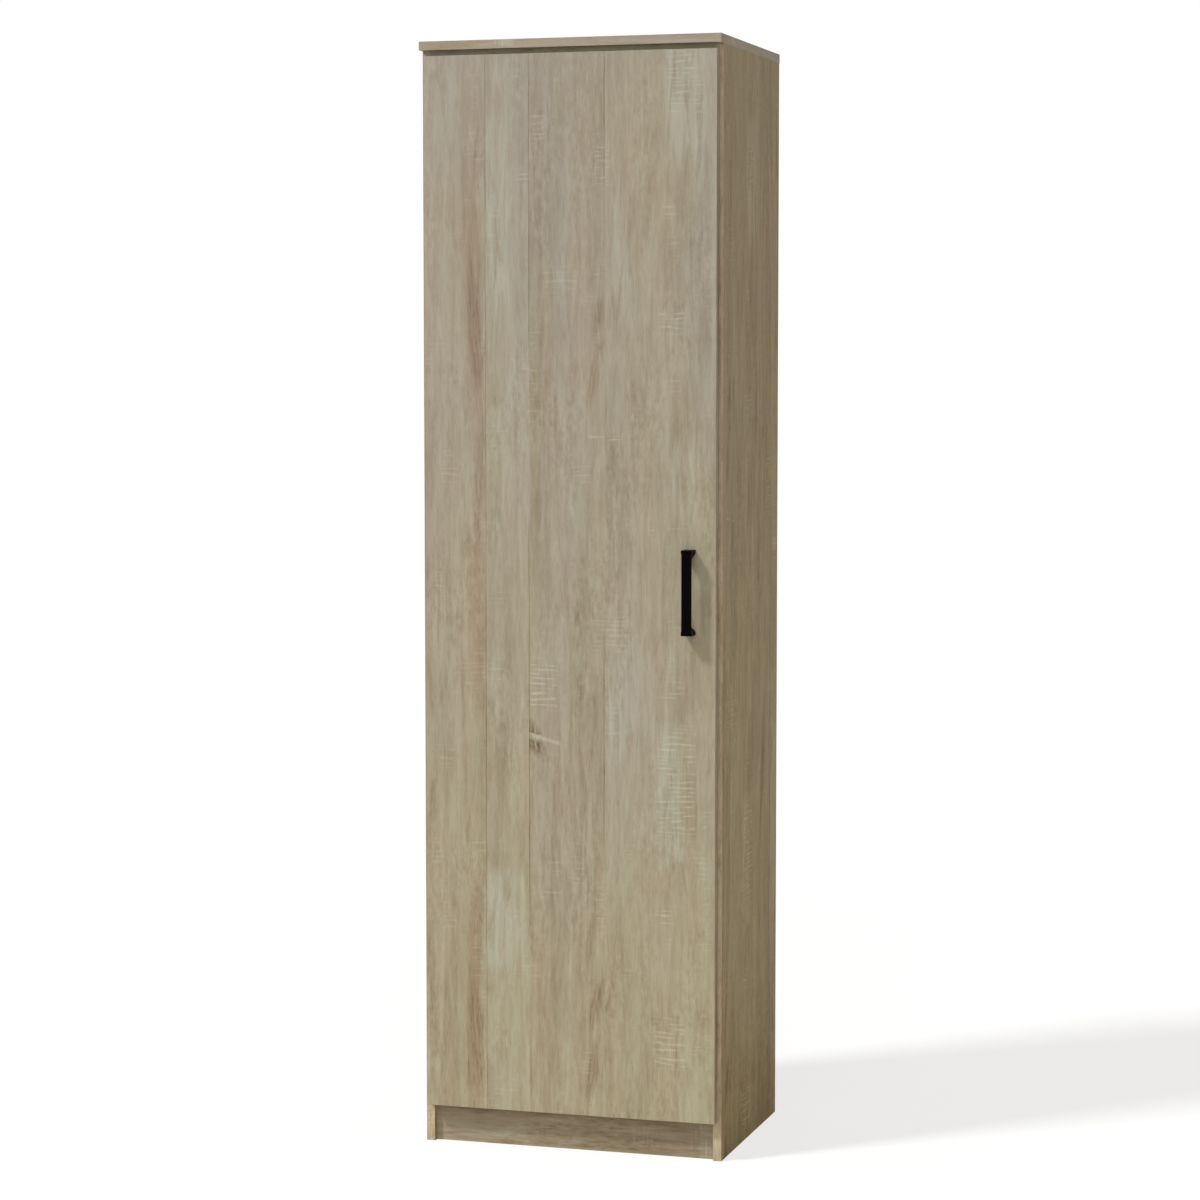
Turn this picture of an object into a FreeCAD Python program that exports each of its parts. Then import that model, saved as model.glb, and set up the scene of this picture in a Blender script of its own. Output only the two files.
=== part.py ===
import FreeCAD, Part
import os
import re

import Sketcher

# Tall single-door storage cabinet, flat-pack construction.
# X is the width, the door faces -Y, Z is up; the origin is on the floor under the middle of the whole.

doc = FreeCAD.newDocument("storage_cabinet")

# Driving sizes in millimetres; shares are fractions of the size they follow.
SIZES = {
    # carcass
    "cabinet_width": 540,
    "cabinet_height": 1930,
    "side_depth": 390,
    "board_thickness": 15,
    "back_thickness": 3,
    "plinth_height": 66,
    "plinth_setback": 11,
    "rear_rail_height": 60,
    "front_rail_height": 60,
    "top_lip": 2,
    "overrun": 1,
    # door
    "door_thickness": 16,
    "door_reveal": 7.5,
    "door_back_gap": 2,
    "door_bottom_rise": 2,
    "door_top_gap": 10,
    "door_edge_radius": 0.8,
    # shelves
    "shelf_side_clearance": 1,
    "shelf_setback": 47,
    "shelf_back_clearance": 2,
    "fixed_shelf_setback": 24,
    "shelf_one_share": 0.157,
    "shelf_two_share": 0.302,
    "fixed_shelf_share": 0.470,
    "shelf_three_share": 0.611,
    "shelf_four_share": 0.774,
    # shelf pins and their hole rows
    "pin_radius": 2.5,
    "pin_hole_clearance": 0.05,
    "pin_depth": 9,
    "pin_hole_extra": 1,
    "pin_reach": 9,
    "pin_collar_radius": 4,
    "pin_collar_thickness": 0.9,
    "pin_front_inset": 60,
    "pin_back_inset": 45,
    "hole_pitch": 32,
    # knock-down fittings
    "cam_radius": 7.4,
    "cam_bore_clearance": 0.1,
    "cam_length": 12,
    "cam_slot_width": 7,
    "cam_cross_width": 1.6,
    "cam_cross_half": 4.5,
    "cam_cross_depth": 2,
    "cam_front_inset": 66,
    "cam_back_inset": 66,
    "bolt_span": 34,
    "bolt_radius": 2.5,
    "bolt_thread_length": 11,
    "bolt_head_radius": 3.2,
    "bolt_head_length": 3,
    "bolt_channel_radius": 3.5,
    "bolt_hole_clearance": 0.05,
    "dowel_radius": 4,
    "dowel_length": 30,
    "dowel_in_panel": 10,
    "dowel_hole_clearance": 0.05,
    "dowel_from_cam": 32,
    "dowel_end_clearance": 0.5,
    "rail_dowel_share": 0.25,
    # back panel and its fixings
    "back_side_inset": 2,
    "back_bottom_rise": 62,
    "back_top_clearance": 0.5,
    "back_joint_share": 0.535,
    "strip_web": 0.8,
    "strip_flange": 0.8,
    "strip_height": 18,
    "strip_side_clearance": 1,
    "nail_radius": 0.8,
    "nail_length": 20,
    "nail_head_radius": 2.2,
    "nail_head_thickness": 0.6,
    "nail_hole_clearance": 0.05,
    "nail_end_inset": 40,
    "nail_row_share": 0.3,
    # wall bracket
    "bracket_width": 30,
    "bracket_leg": 40,
    "bracket_thickness": 2,
    "bracket_hole_radius": 2.75,
    "bracket_hole_drop": 25,
    "bracket_wall_hole_radius": 4.5,
    "bracket_screw_spread": 16,
    "bracket_screw_inset": 24,
    "wood_screw_radius": 1.75,
    "wood_screw_length": 12,
    "wood_screw_head_radius": 3.4,
    "wood_screw_head_length": 1.8,
    "screw_hole_clearance": 0.05,
    # handle
    "handle_length": 146,
    "handle_width": 17,
    "handle_end_width": 19,
    "handle_end_length": 4,
    "handle_bar_thickness": 5,
    "handle_projection": 28,
    "handle_edge_inset": 45,
    "handle_foot_length": 8,
    "handle_leg_length": 15,
    "handle_corner": 1,
    "handle_haunch": 6,
    "handle_edge_radius": 0.8,
    "handle_screw_radius": 2,
    "handle_screw_bite": 12,
    "handle_screw_head_radius": 4,
    "handle_screw_head_length": 2.4,
    # door buffers
    "buffer_radius": 3.5,
    "buffer_thickness": 1.7,
    "buffer_edge_inset": 4,
    "buffer_end_inset": 30,
    # hinges; pivots are measured from the door's inner edge on the hinge side
    "hinge_end_distance": 100,
    "pole_inset": 5,
    "pole_depth": 8,
    "arm_pivot_inset": 20.5,
    "arm_pivot_back": 11,
    "cup_pivot_inset": 23.5,
    "cup_pivot_depth": 6.5,
    "cup_radius": 17.5,
    "cup_bore_clearance": 0.1,
    "cup_edge_distance": 4,
    "cup_depth": 12,
    "cup_wall": 0.8,
    "cup_bore_extra": 0.3,
    "flange_thickness": 1.2,
    "flange_radius": 19,
    "flange_wing_reach": 15,
    "flange_wing_half": 29,
    "cup_screw_offset": 9.5,
    "cup_screw_spread": 24,
    "cup_screw_length": 11,
    "screw_head_over_flange": 0.7,
    "seat_half_length": 3,
    "seat_top_depth": 3.5,
    "seat_start": 9.5,
    "hinge_pin_radius": 1.25,
    "hinge_pin_clearance": 0.05,
    "cup_pin_half": 12,
    "arm_pin_half": 8.8,
    "knee_pin_half": 8.8,
    "link_eye_radius": 2.5,
    "arm_link_half": 6.8,
    "strap_inner": 7.2,
    "strap_outer": 8.4,
    "bridge_half_thickness": 0.6,
    "bridge_start": 7,
    "bridge_end": 15,
    "cheek_inner": 7.2,
    "cheek_outer": 8.4,
    "arm_nose": 4,
    "arm_web_start": 18,
    "arm_end": 62,
    "arm_web_thickness": 1.2,
    "arm_plate_gap": 1,
    "plate_base": 2,
    "plate_wing_half": 24,
    "plate_wing_start": 32,
    "plate_wing_end": 50,
    "plate_block_start": 26,
    "plate_block_end": 60,
    "plate_block_half": 6.9,
    "plate_screw_inset": 37,
    "plate_screw_spread": 16,
    "plate_screw_radius": 2.5,
    "plate_screw_length": 11,
    "plate_screw_head_radius": 4,
    "plate_screw_head_length": 1.8,
    "arm_screw_inset": 50,
    "arm_screw_radius": 2,
    "arm_screw_length": 9,
    "arm_screw_head_radius": 3.4,
    "arm_screw_head_length": 1.6,
}

TOLERANCE = 1e-6
HINGE_NAMES = ("bottom", "lower", "upper", "top")
SHELF_NAMES = ("one", "two", "three", "four")
PIN_ROWS = (-2, -1, 0, 1, 2)
SIDE_NAILS = 10
CROSS_NAILS = 3

sheet = doc.addObject("Spreadsheet::Sheet", "sizes")
for row, (alias, value) in enumerate(SIZES.items(), start=1):
    sheet.set(f"A{row}", alias)
    sheet.set(f"B{row}", str(value))
    sheet.setAlias(f"B{row}", alias)
doc.recompute()

# Places worked out from the driving sizes.
PLACES = {
    "inner_width": "cabinet_width - 2 * board_thickness",
    "inner_right": "cabinet_width / 2 - board_thickness",
    "back_face": "(side_depth + back_thickness + door_back_gap + door_thickness + handle_projection) / 2",
    "panel_back": "back_face - back_thickness",
    "side_front": "panel_back - side_depth",
    "top_under": "cabinet_height - board_thickness",
    "floor_board_top": "plinth_height + board_thickness",
    "clear_height": "top_under - floor_board_top",
    "door_width": "cabinet_width - 2 * door_reveal",
    "door_left": "door_reveal - cabinet_width / 2",
    "door_bottom": "plinth_height + door_bottom_rise",
    "door_height": "top_under - door_top_gap - door_bottom",
    "door_back": "side_front - door_back_gap",
    "door_front": "door_back - door_thickness",
    "handle_x": "door_left + door_width - handle_edge_inset",
    "handle_hole_spacing": "handle_length - handle_foot_length",
    "handle_z": "door_bottom + door_height / 2",
    "panel_inner": "board_thickness - cabinet_width / 2",
    "cup_centre": "door_left + cup_edge_distance + cup_radius",
    "arm_pivot_x": "door_left + arm_pivot_inset",
    "arm_pivot_y": "door_back + arm_pivot_back",
    "cup_pivot_x": "door_left + cup_pivot_inset",
    "cup_pivot_y": "door_back - cup_pivot_depth",
    "knee_x": "arm_pivot_x + cup_pivot_inset - pole_inset",
    "knee_y": "arm_pivot_y + pole_depth - cup_pivot_depth",
    "arm_web_outer": "arm_pivot_x + arm_nose",
    "arm_web_inner": "arm_web_outer - arm_web_thickness",
    "plate_top": "panel_inner + plate_base",
    "back_joint": "back_bottom_rise + back_joint_share * (top_under - back_bottom_rise)",
    "bolt_reach": "bolt_span + bolt_head_length / 2",
}


def expand(formula):
    """Write a formula over the sheet's own cells, working out derived places on the way."""
    def swap(match):
        word = match.group()
        if word in PLACES:
            return "(" + expand(PLACES[word]) + ")"
        if word in SIZES:
            return "sizes." + word
        return word
    return re.sub(r"[a-z][a-z_]*", swap, formula)


def bind(item, prop, formula):
    """Tie one property of an object to a formula over the named sizes."""
    item.setExpression(prop, expand(formula))


def place(item, corner):
    for axis, formula in zip("xyz", corner):
        bind(item, "Placement.Base." + axis, formula)


def block(name, size, corner):
    """A box with its low corner at a place."""
    item = doc.addObject("Part::Box", name)
    for prop, formula in zip(("Length", "Width", "Height"), size):
        bind(item, prop, formula)
    place(item, corner)
    return item


TURNS = {
    "+X": FreeCAD.Rotation(FreeCAD.Vector(0, 1, 0), 90),
    "-X": FreeCAD.Rotation(FreeCAD.Vector(0, 1, 0), -90),
    "+Y": FreeCAD.Rotation(FreeCAD.Vector(1, 0, 0), -90),
    "-Y": FreeCAD.Rotation(FreeCAD.Vector(1, 0, 0), 90),
    "+Z": FreeCAD.Rotation(),
    "-Z": FreeCAD.Rotation(FreeCAD.Vector(1, 0, 0), 180),
}


def rod(name, radius, length, start, heading):
    """A cylinder that starts at a place and runs along one direction."""
    item = doc.addObject("Part::Cylinder", name)
    bind(item, "Radius", radius)
    bind(item, "Height", length)
    item.Placement = FreeCAD.Placement(FreeCAD.Vector(), TURNS[heading])
    place(item, start)
    return item


def cut(name, base, tools):
    """Take a list of tools away from a base."""
    item = doc.addObject("Part::Cut", name)
    item.Base = base
    item.Tool = tools[0] if len(tools) == 1 else gather(name + "_tools", tools)
    return item


def join(name, parts):
    """Fuse overlapping shapes into one solid."""
    item = doc.addObject("Part::MultiFuse", name)
    item.Shapes = parts
    return item


def gather(name, parts):
    """Keep separate solids together in one object."""
    item = doc.addObject("Part::Compound", name)
    item.Links = parts
    return item


NODES = []


def node(label, item):
    """Name a finished sub-part; the label is also its file name."""
    item.Label = label
    NODES.append(item)
    return item


# Board bodies: a sketch, a pad and pockets, drawn from the board's low corner.
PLANES = {"flat": "XY_Plane", "facing": "XZ_Plane", "side": "YZ_Plane"}


def body_plane(body, which):
    return next(item for item in body.Origin.OriginFeatures if item.Role == PLANES[which])


def sketch_on(body, which, offset="0"):
    sketch = body.newObject("Sketcher::SketchObject", body.Name + "_sketch")
    sketch.AttachmentSupport = [(body_plane(body, which), "")]
    sketch.MapMode = "FlatFace"
    bind(sketch, "AttachmentOffset.Base.z", offset)
    return sketch


def measure(sketch, kind, *where_and_formula):
    """Add one driving dimension and tie it to a formula."""
    *where, formula = where_and_formula
    index = sketch.addConstraint(Sketcher.Constraint(kind, *where, 1.0))
    bind(sketch, f"Constraints[{index}]", formula)


def rectangle(sketch, width, height):
    """A rectangle from the sketch's origin."""
    corners = [(0, 0), (1, 0), (1, 1), (0, 1)]
    points = [FreeCAD.Vector(u, v, 0) for u, v in corners]
    for start, end in zip(points, points[1:] + points[:1]):
        sketch.addGeometry(Part.LineSegment(start, end), False)
    for line in range(4):
        sketch.addConstraint(Sketcher.Constraint("Coincident", line, 2, (line + 1) % 4, 1))
        sketch.addConstraint(Sketcher.Constraint("Horizontal" if line % 2 == 0 else "Vertical", line))
    sketch.addConstraint(Sketcher.Constraint("Coincident", 0, 1, -1, 1))
    measure(sketch, "DistanceX", 0, 1, 0, 2, width)
    measure(sketch, "DistanceY", 1, 1, 1, 2, height)


def rings(sketch, radius, centres):
    """Circles of one radius at places measured from the sketch's origin."""
    for u, v in centres:
        index = sketch.addGeometry(Part.Circle(FreeCAD.Vector(1, 1, 0), FreeCAD.Vector(0, 0, 1), 1), False)
        measure(sketch, "Radius", index, radius)
        measure(sketch, "DistanceX", -1, 1, index, 3, u)
        measure(sketch, "DistanceY", -1, 1, index, 3, v)


def pad(body, sketch, length, reverse=False):
    item = body.newObject("PartDesign::Pad", body.Name + "_pad")
    item.Profile = sketch
    item.Reversed = reverse
    bind(item, "Length", length)
    sketch.Visibility = False
    return item


def pocket(body, sketch, length, reverse=False):
    """Cut a sketch into the body, and make sure that it took material away."""
    doc.recompute()
    before = body.Shape.Volume
    item = body.newObject("PartDesign::Pocket", body.Name + "_pocket")
    item.Profile = sketch
    item.Reversed = reverse
    bind(item, "Length", length)
    doc.recompute()
    if not body.Shape.Volume < before:
        raise ValueError(body.Name + ": a pocket cut nothing")
    return item


def board(label, which, width, height, thickness, corner):
    """A flat board: its face lies in the named plane and it grows along the plane's positive axis."""
    body = doc.addObject("PartDesign::Body", label)
    sketch = sketch_on(body, which)
    rectangle(sketch, width, height)
    pad(body, sketch, thickness, reverse=(which == "facing"))
    place(body, corner)
    return node(label, body)


# Heights and rows that several boards share.
def shelf_level(name):
    return f"floor_board_top + {name}_share * clear_height"


SHELF_LEVELS = {name: shelf_level("shelf_" + name) for name in SHELF_NAMES}
FIXED_LEVEL = shelf_level("fixed_shelf")
HINGE_SPAN = "(door_height - 2 * hinge_end_distance)"
HINGE_LEVELS = {
    name: f"door_bottom + hinge_end_distance + {step} / {len(HINGE_NAMES) - 1} * {HINGE_SPAN}"
    for step, name in enumerate(HINGE_NAMES)
}
CAM_ROWS = ("cam_front_inset", "side_depth - cam_back_inset")
DOWEL_ROWS = ("cam_front_inset + dowel_from_cam", "side_depth - cam_back_inset - dowel_from_cam")
PIN_COLUMNS = ("pin_front_inset", "side_depth - pin_back_inset")
BOARD_MIDDLES = ("plinth_height + board_thickness / 2", f"{FIXED_LEVEL} + board_thickness / 2")
RAILS = {
    "plinth_board": ("plinth_setback", "0", "plinth_height"),
    "plinth_rear_rail": ("side_depth - board_thickness", "0", "rear_rail_height"),
    "top_front_rail": ("0", "top_under - front_rail_height", "front_rail_height"),
}


RAIL_DOWEL_SHARES = ("rail_dowel_share", "(1 - rail_dowel_share)")


def rail_dowel_places():
    """Places of the two dowels at each rail end, from the side panel's front lower corner."""
    for setback, low, height in RAILS.values():
        for share in RAIL_DOWEL_SHARES:
            yield f"{setback} + board_thickness / 2", f"{low} + {share} * {height}"


def nail_levels():
    """Each side nail's share of the back panel's height, with its height formula."""
    span = "(top_under - back_bottom_rise - 2 * nail_end_inset)"
    for step in range(SIDE_NAILS):
        share = step / (SIDE_NAILS - 1)
        yield share, f"back_bottom_rise + nail_end_inset + {step} / {SIDE_NAILS - 1} * {span}"


# Each nail's share of the height, its place across the cabinet and its height.
CROSS_PLACES = [f"{step} * nail_row_share * cabinet_width" for step in (-1, 0, 1)]
CROSS_SHARES = (0, sheet.fixed_shelf_share)
NAIL_POINTS = [
    (share, f"{sign} * (cabinet_width / 2 - board_thickness / 2)", level)
    for sign in (-1, 1) for share, level in nail_levels()
] + [
    (share, across, middle)
    for share, middle in zip(CROSS_SHARES, BOARD_MIDDLES) for across in CROSS_PLACES
]


# Side panels, with holes in the inner face, the top edge and the back edge.
def side_panel(label, hand):
    inner = "board_thickness" if hand == "left" else "0"
    inward = hand == "right"
    corner_x = "-cabinet_width / 2" if hand == "left" else "inner_right"
    panel = board(label, "side", "side_depth", "top_under", "board_thickness", (corner_x, "side_front", "0"))

    holes = sketch_on(panel, "side", inner)
    rings(holes, "pin_radius + pin_hole_clearance", [
        (column, f"{level} - pin_radius + {row} * hole_pitch")
        for column in PIN_COLUMNS for level in SHELF_LEVELS.values() for row in PIN_ROWS])
    pocket(panel, holes, "pin_depth + pin_hole_extra", inward)

    bolts = sketch_on(panel, "side", inner)
    rings(bolts, "bolt_radius + bolt_hole_clearance", [
        (row, middle) for row in CAM_ROWS for middle in BOARD_MIDDLES])
    pocket(panel, bolts, "bolt_thread_length", inward)

    dowels = sketch_on(panel, "side", inner)
    places = [(row, middle) for row in DOWEL_ROWS for middle in BOARD_MIDDLES] + list(rail_dowel_places())
    rings(dowels, "dowel_radius + dowel_hole_clearance", places)
    pocket(panel, dowels, "dowel_in_panel", inward)

    cams = sketch_on(panel, "side", inner)
    rings(cams, "cam_radius + cam_bore_clearance", [(row, "top_under - bolt_span") for row in CAM_ROWS])
    pocket(panel, cams, "cam_length", inward)

    if hand == "left":
        plates = sketch_on(panel, "side", inner)
        rings(plates, "plate_screw_radius", [
            ("plate_screw_inset", f"{level} + {sign} * plate_screw_spread")
            for level in HINGE_LEVELS.values() for sign in (-1, 1)])
        pocket(panel, plates, "plate_screw_length", inward)

    edge = sketch_on(panel, "flat", "top_under")
    rings(edge, "bolt_channel_radius", [("board_thickness / 2", row) for row in CAM_ROWS])
    pocket(panel, edge, "bolt_span")

    pegs = sketch_on(panel, "flat", "top_under")
    rings(pegs, "dowel_radius + dowel_hole_clearance", [("board_thickness / 2", row) for row in DOWEL_ROWS])
    pocket(panel, pegs, "dowel_length - dowel_in_panel")

    nails = sketch_on(panel, "facing", "-side_depth")
    rings(nails, "nail_radius + nail_hole_clearance", [
        ("board_thickness / 2", level) for _, level in nail_levels()])
    pocket(panel, nails, "nail_length", True)
    return panel


side_panel("side_panel_left", "left")
side_panel("side_panel_right", "right")


# Boards between the sides: cam bores below, bolt and dowel holes in the ends.
def cross_board(label, level, depth, setback):
    """A horizontal board held between the side panels."""
    panel = board(label, "flat", "inner_width", depth, "board_thickness",
                  ("panel_inner", f"side_front + {setback}", level))
    bores = sketch_on(panel, "flat")
    rings(bores, "cam_radius + cam_bore_clearance", [
        (across, f"{row} - {setback}")
        for row in CAM_ROWS for across in ("bolt_span", "inner_width - bolt_span")])
    pocket(panel, bores, "cam_length", True)
    for offset, outward in (("0", True), ("inner_width", False)):
        channels = sketch_on(panel, "side", offset)
        rings(channels, "bolt_channel_radius", [
            (f"{row} - {setback}", "board_thickness / 2") for row in CAM_ROWS])
        pocket(panel, channels, "bolt_span", outward)
        pegs = sketch_on(panel, "side", offset)
        rings(pegs, "dowel_radius + dowel_hole_clearance",
              [(f"{row} - {setback}", "board_thickness / 2") for row in DOWEL_ROWS])
        pocket(panel, pegs, "dowel_length - dowel_in_panel", outward)
    nails = sketch_on(panel, "facing", f"-({depth})")
    rings(nails, "nail_radius + nail_hole_clearance",
          [(f"inner_width / 2 + {across}", "board_thickness / 2") for across in CROSS_PLACES])
    pocket(panel, nails, "nail_length", True)
    return panel


cross_board("bottom_board", "plinth_height", "side_depth", "0")
cross_board("fixed_shelf", FIXED_LEVEL, "side_depth - fixed_shelf_setback", "fixed_shelf_setback")

# Top board: bolts and dowels from below, and the two screws of the wall bracket.
top_board = board("top_board", "flat", "cabinet_width",
                  "back_face - door_front + top_lip", "board_thickness",
                  ("-cabinet_width / 2", "door_front - top_lip", "top_under"))
FROM_TOP_FRONT = "side_front - door_front + top_lip"
EDGE_LINES = ("board_thickness / 2", "cabinet_width - board_thickness / 2")
top_bolts = sketch_on(top_board, "flat")
rings(top_bolts, "bolt_radius + bolt_hole_clearance",
      [(line, f"{FROM_TOP_FRONT} + {row}") for line in EDGE_LINES for row in CAM_ROWS])
pocket(top_board, top_bolts, "bolt_thread_length", True)
top_pegs = sketch_on(top_board, "flat")
rings(top_pegs, "dowel_radius + dowel_hole_clearance",
      [(line, f"{FROM_TOP_FRONT} + {row}") for line in EDGE_LINES for row in DOWEL_ROWS])
pocket(top_board, top_pegs, "dowel_in_panel", True)
top_screws = sketch_on(top_board, "flat")
rings(top_screws, "wood_screw_radius + screw_hole_clearance",
      [(f"cabinet_width / 2 + {sign} * bracket_screw_spread / 2",
        f"{FROM_TOP_FRONT} + side_depth - bracket_screw_inset") for sign in (-1, 1)])
pocket(top_board, top_screws, "wood_screw_length - bracket_thickness", True)

# Rails: plinth in front, a rail under the back edge and a rail behind the door's top edge.
for label, (setback, low, height) in RAILS.items():
    rail = board(label, "facing", "inner_width", height, "board_thickness",
                 ("panel_inner", f"side_front + {setback}", low))
    for offset, outward in (("0", True), ("inner_width", False)):
        pegs = sketch_on(rail, "side", offset)
        rings(pegs, "dowel_radius + dowel_hole_clearance",
              [("board_thickness / 2", f"{share} * {height}") for share in RAIL_DOWEL_SHARES])
        pocket(rail, pegs, "dowel_length - dowel_in_panel", outward)

# Loose shelves.
for name, level in SHELF_LEVELS.items():
    board("shelf_" + name, "flat", "inner_width - 2 * shelf_side_clearance",
          "side_depth - shelf_setback - shelf_back_clearance", "board_thickness",
          ("panel_inner + shelf_side_clearance", "side_front + shelf_setback", level))

# Back panel in two sheets, nailed to the back edges, with a strip that covers their joint inside.
BACK_WIDTH = "cabinet_width - 2 * back_side_inset"


def back_sheet(label, low, high):
    return board(label, "facing", BACK_WIDTH, f"{high} - ({low})", "back_thickness",
                 ("back_side_inset - cabinet_width / 2", "panel_back", low))


lower_nails = [point for point in NAIL_POINTS if point[0] < sheet.back_joint_share]
upper_nails = [point for point in NAIL_POINTS if point not in lower_nails]
back_lower = back_sheet("back_panel_lower", "back_bottom_rise", "back_joint - strip_web / 2")
back_upper = back_sheet("back_panel_upper", "back_joint + strip_web / 2", "top_under - back_top_clearance")
for panel, low, points in ((back_lower, "back_bottom_rise", lower_nails),
                           (back_upper, "(back_joint + strip_web / 2)", upper_nails)):
    holes = sketch_on(panel, "facing")
    rings(holes, "nail_radius + nail_hole_clearance",
          [(f"({BACK_WIDTH}) / 2 + {across}", f"{level} - {low}") for _, across, level in points])
    pocket(panel, holes, "back_thickness - nail_head_thickness")
    heads = sketch_on(panel, "facing", "-back_thickness")
    rings(heads, "nail_head_radius + nail_hole_clearance",
          [(f"({BACK_WIDTH}) / 2 + {across}", f"{level} - {low}") for _, across, level in points])
    pocket(panel, heads, "nail_head_thickness", True)
wall_hole = sketch_on(back_upper, "facing")
rings(wall_hole, "bracket_wall_hole_radius",
      [(f"({BACK_WIDTH}) / 2", "top_under - bracket_hole_drop - (back_joint + strip_web / 2)")])
pocket(back_upper, wall_hole, "back_thickness")

STRIP_LENGTH = "inner_width - 2 * strip_side_clearance"
STRIP_LEFT = "panel_inner + strip_side_clearance"
strip_flange = block("strip_flange", (STRIP_LENGTH, "strip_flange", "strip_height"),
                     (STRIP_LEFT, "panel_back - strip_flange", "back_joint - strip_height / 2"))
strip_web = block("strip_web", (STRIP_LENGTH, "back_thickness", "strip_web"),
                  (STRIP_LEFT, "panel_back", "back_joint - strip_web / 2"))
node("back_joint_strip", join("back_joint_strip", [strip_flange, strip_web]))


# Small fixings, each group of identical pieces in one node.
def headed_pin(name, radius, length, head_radius, head_length, start, heading, back):
    """A shank that runs from a seat along a heading, with a head on the other side of the seat."""
    shank = rod(name + "_shank", radius, length, start, heading)
    head = rod(name + "_head", head_radius, head_length, start, back)
    return join(name, [shank, head])


nails = []
for index, (_, across, level) in enumerate(NAIL_POINTS):
    seat = (across, "back_face - nail_head_thickness", level)
    nails.append(headed_pin(f"nail_{index}", "nail_radius", "nail_length", "nail_head_radius",
                            "nail_head_thickness", seat, "-Y", "+Y"))
node("back_panel_nails", gather("back_panel_nails", nails))

dowels = []
cam_bolts = []
cam_locks = []


def cam_lock(name, centre, heading, slot_size, slot_corner):
    """A round cam with a side slot that takes the bolt's head and a cross for the screwdriver."""
    drum = rod(name + "_drum", "cam_radius", "cam_length", centre, heading)
    slot = block(name + "_slot", slot_size, slot_corner)
    wide = "2 * cam_cross_half"
    bars = []
    for index, (first, second) in enumerate(((wide, "cam_cross_width"), ("cam_cross_width", wide))):
        if heading == "+Z":
            size = (first, second, "cam_cross_depth")
            corner = (f"{centre[0]} - {first} / 2", f"{centre[1]} - {second} / 2", centre[2])
        else:
            size = ("cam_cross_depth", first, second)
            back = "0" if heading == "+X" else "cam_cross_depth"
            corner = (f"{centre[0]} - {back}", f"{centre[1]} - {first} / 2", f"{centre[2]} - {second} / 2")
        bars.append(block(f"{name}_cross_{index}", size, corner))
    return cut(name, drum, [slot, join(name + "_cross", bars)])


def dowel(name, start, heading):
    return rod(name, "dowel_radius", "dowel_length - dowel_end_clearance", start, heading)


def cam_bolt(name, face, into, out, head_start, head_heading):
    """A bolt screwed into one board, whose head reaches into the cam of the other."""
    thread = rod(f"{name}_thread", "bolt_radius", "bolt_thread_length", face, into)
    shaft = rod(f"{name}_shaft", "bolt_radius", "bolt_reach", face, out)
    head = rod(f"{name}_head", "bolt_head_radius", "bolt_head_length", head_start, head_heading)
    return join(name, [thread, shaft, head])


HANDS = {
    "left": {"inner": "panel_inner", "into": "-X", "out": "+X", "outward": "-", "inward": "+"},
    "right": {"inner": "inner_right", "into": "+X", "out": "-X", "outward": "+", "inward": "-"},
}
SLOT_REACH = "cam_radius + overrun + cam_slot_width / 2"
for hand, way in HANDS.items():
    inner = way["inner"]
    dowel_start = f"{inner} {way['outward']} dowel_in_panel"
    edge_line = f"{inner} {way['outward']} board_thickness / 2"
    # Fittings between this side panel and the bottom board or the fixed shelf.
    for middle_index, middle in enumerate(BOARD_MIDDLES):
        for row_index, row in enumerate(CAM_ROWS):
            tag = f"{hand}_{middle_index}_{row_index}"
            depth_place = f"side_front + {row}"
            head_start = (f"{inner} {way['inward']} (bolt_span - bolt_head_length / 2)", depth_place, middle)
            cam_bolts.append(cam_bolt(f"cam_bolt_{tag}", (inner, depth_place, middle),
                                      way["into"], way["out"], head_start, way["out"]))
            centre = f"{inner} {way['inward']} bolt_span"
            slot_back = "cam_radius + overrun" if hand == "left" else "cam_slot_width / 2"
            cam_locks.append(cam_lock(
                f"cam_lock_{tag}", (centre, depth_place, f"{middle} - board_thickness / 2"), "+Z",
                (SLOT_REACH, "cam_slot_width", "cam_length"),
                (f"{centre} - ({slot_back})", f"{depth_place} - cam_slot_width / 2",
                 f"{middle} - cam_slot_width / 2")))
        for row_index, row in enumerate(DOWEL_ROWS):
            dowels.append(dowel(f"dowel_{hand}_{middle_index}_{row_index}",
                                (dowel_start, f"side_front + {row}", middle), way["out"]))
    # Fittings between this side panel's top edge and the top board.
    for row_index, row in enumerate(CAM_ROWS):
        tag = f"{hand}_top_{row_index}"
        depth_place = f"side_front + {row}"
        cam_level = "top_under - bolt_span"
        cam_bolts.append(cam_bolt(f"cam_bolt_{tag}", (edge_line, depth_place, "top_under"), "+Z", "-Z",
                                  (edge_line, depth_place, "top_under - bolt_reach"), "+Z"))
        cam_locks.append(cam_lock(
            f"cam_lock_{tag}", (inner, depth_place, cam_level), way["into"],
            ("cam_slot_width", "cam_slot_width", SLOT_REACH),
            (f"{edge_line} - cam_slot_width / 2", f"{depth_place} - cam_slot_width / 2",
             f"{cam_level} - cam_slot_width / 2")))
    for row_index, row in enumerate(DOWEL_ROWS):
        low = "top_under - dowel_length + dowel_in_panel + dowel_end_clearance"
        dowels.append(dowel(f"dowel_{hand}_top_{row_index}", (edge_line, f"side_front + {row}", low), "+Z"))
    for index, (depth_place, level) in enumerate(rail_dowel_places()):
        dowels.append(dowel(f"rail_dowel_{hand}_{index}",
                            (dowel_start, f"side_front + {depth_place}", level), way["out"]))
node("wood_dowels", gather("wood_dowels", dowels))
node("cam_bolts", gather("cam_bolts", cam_bolts))
node("cam_locks", gather("cam_locks", cam_locks))

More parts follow.
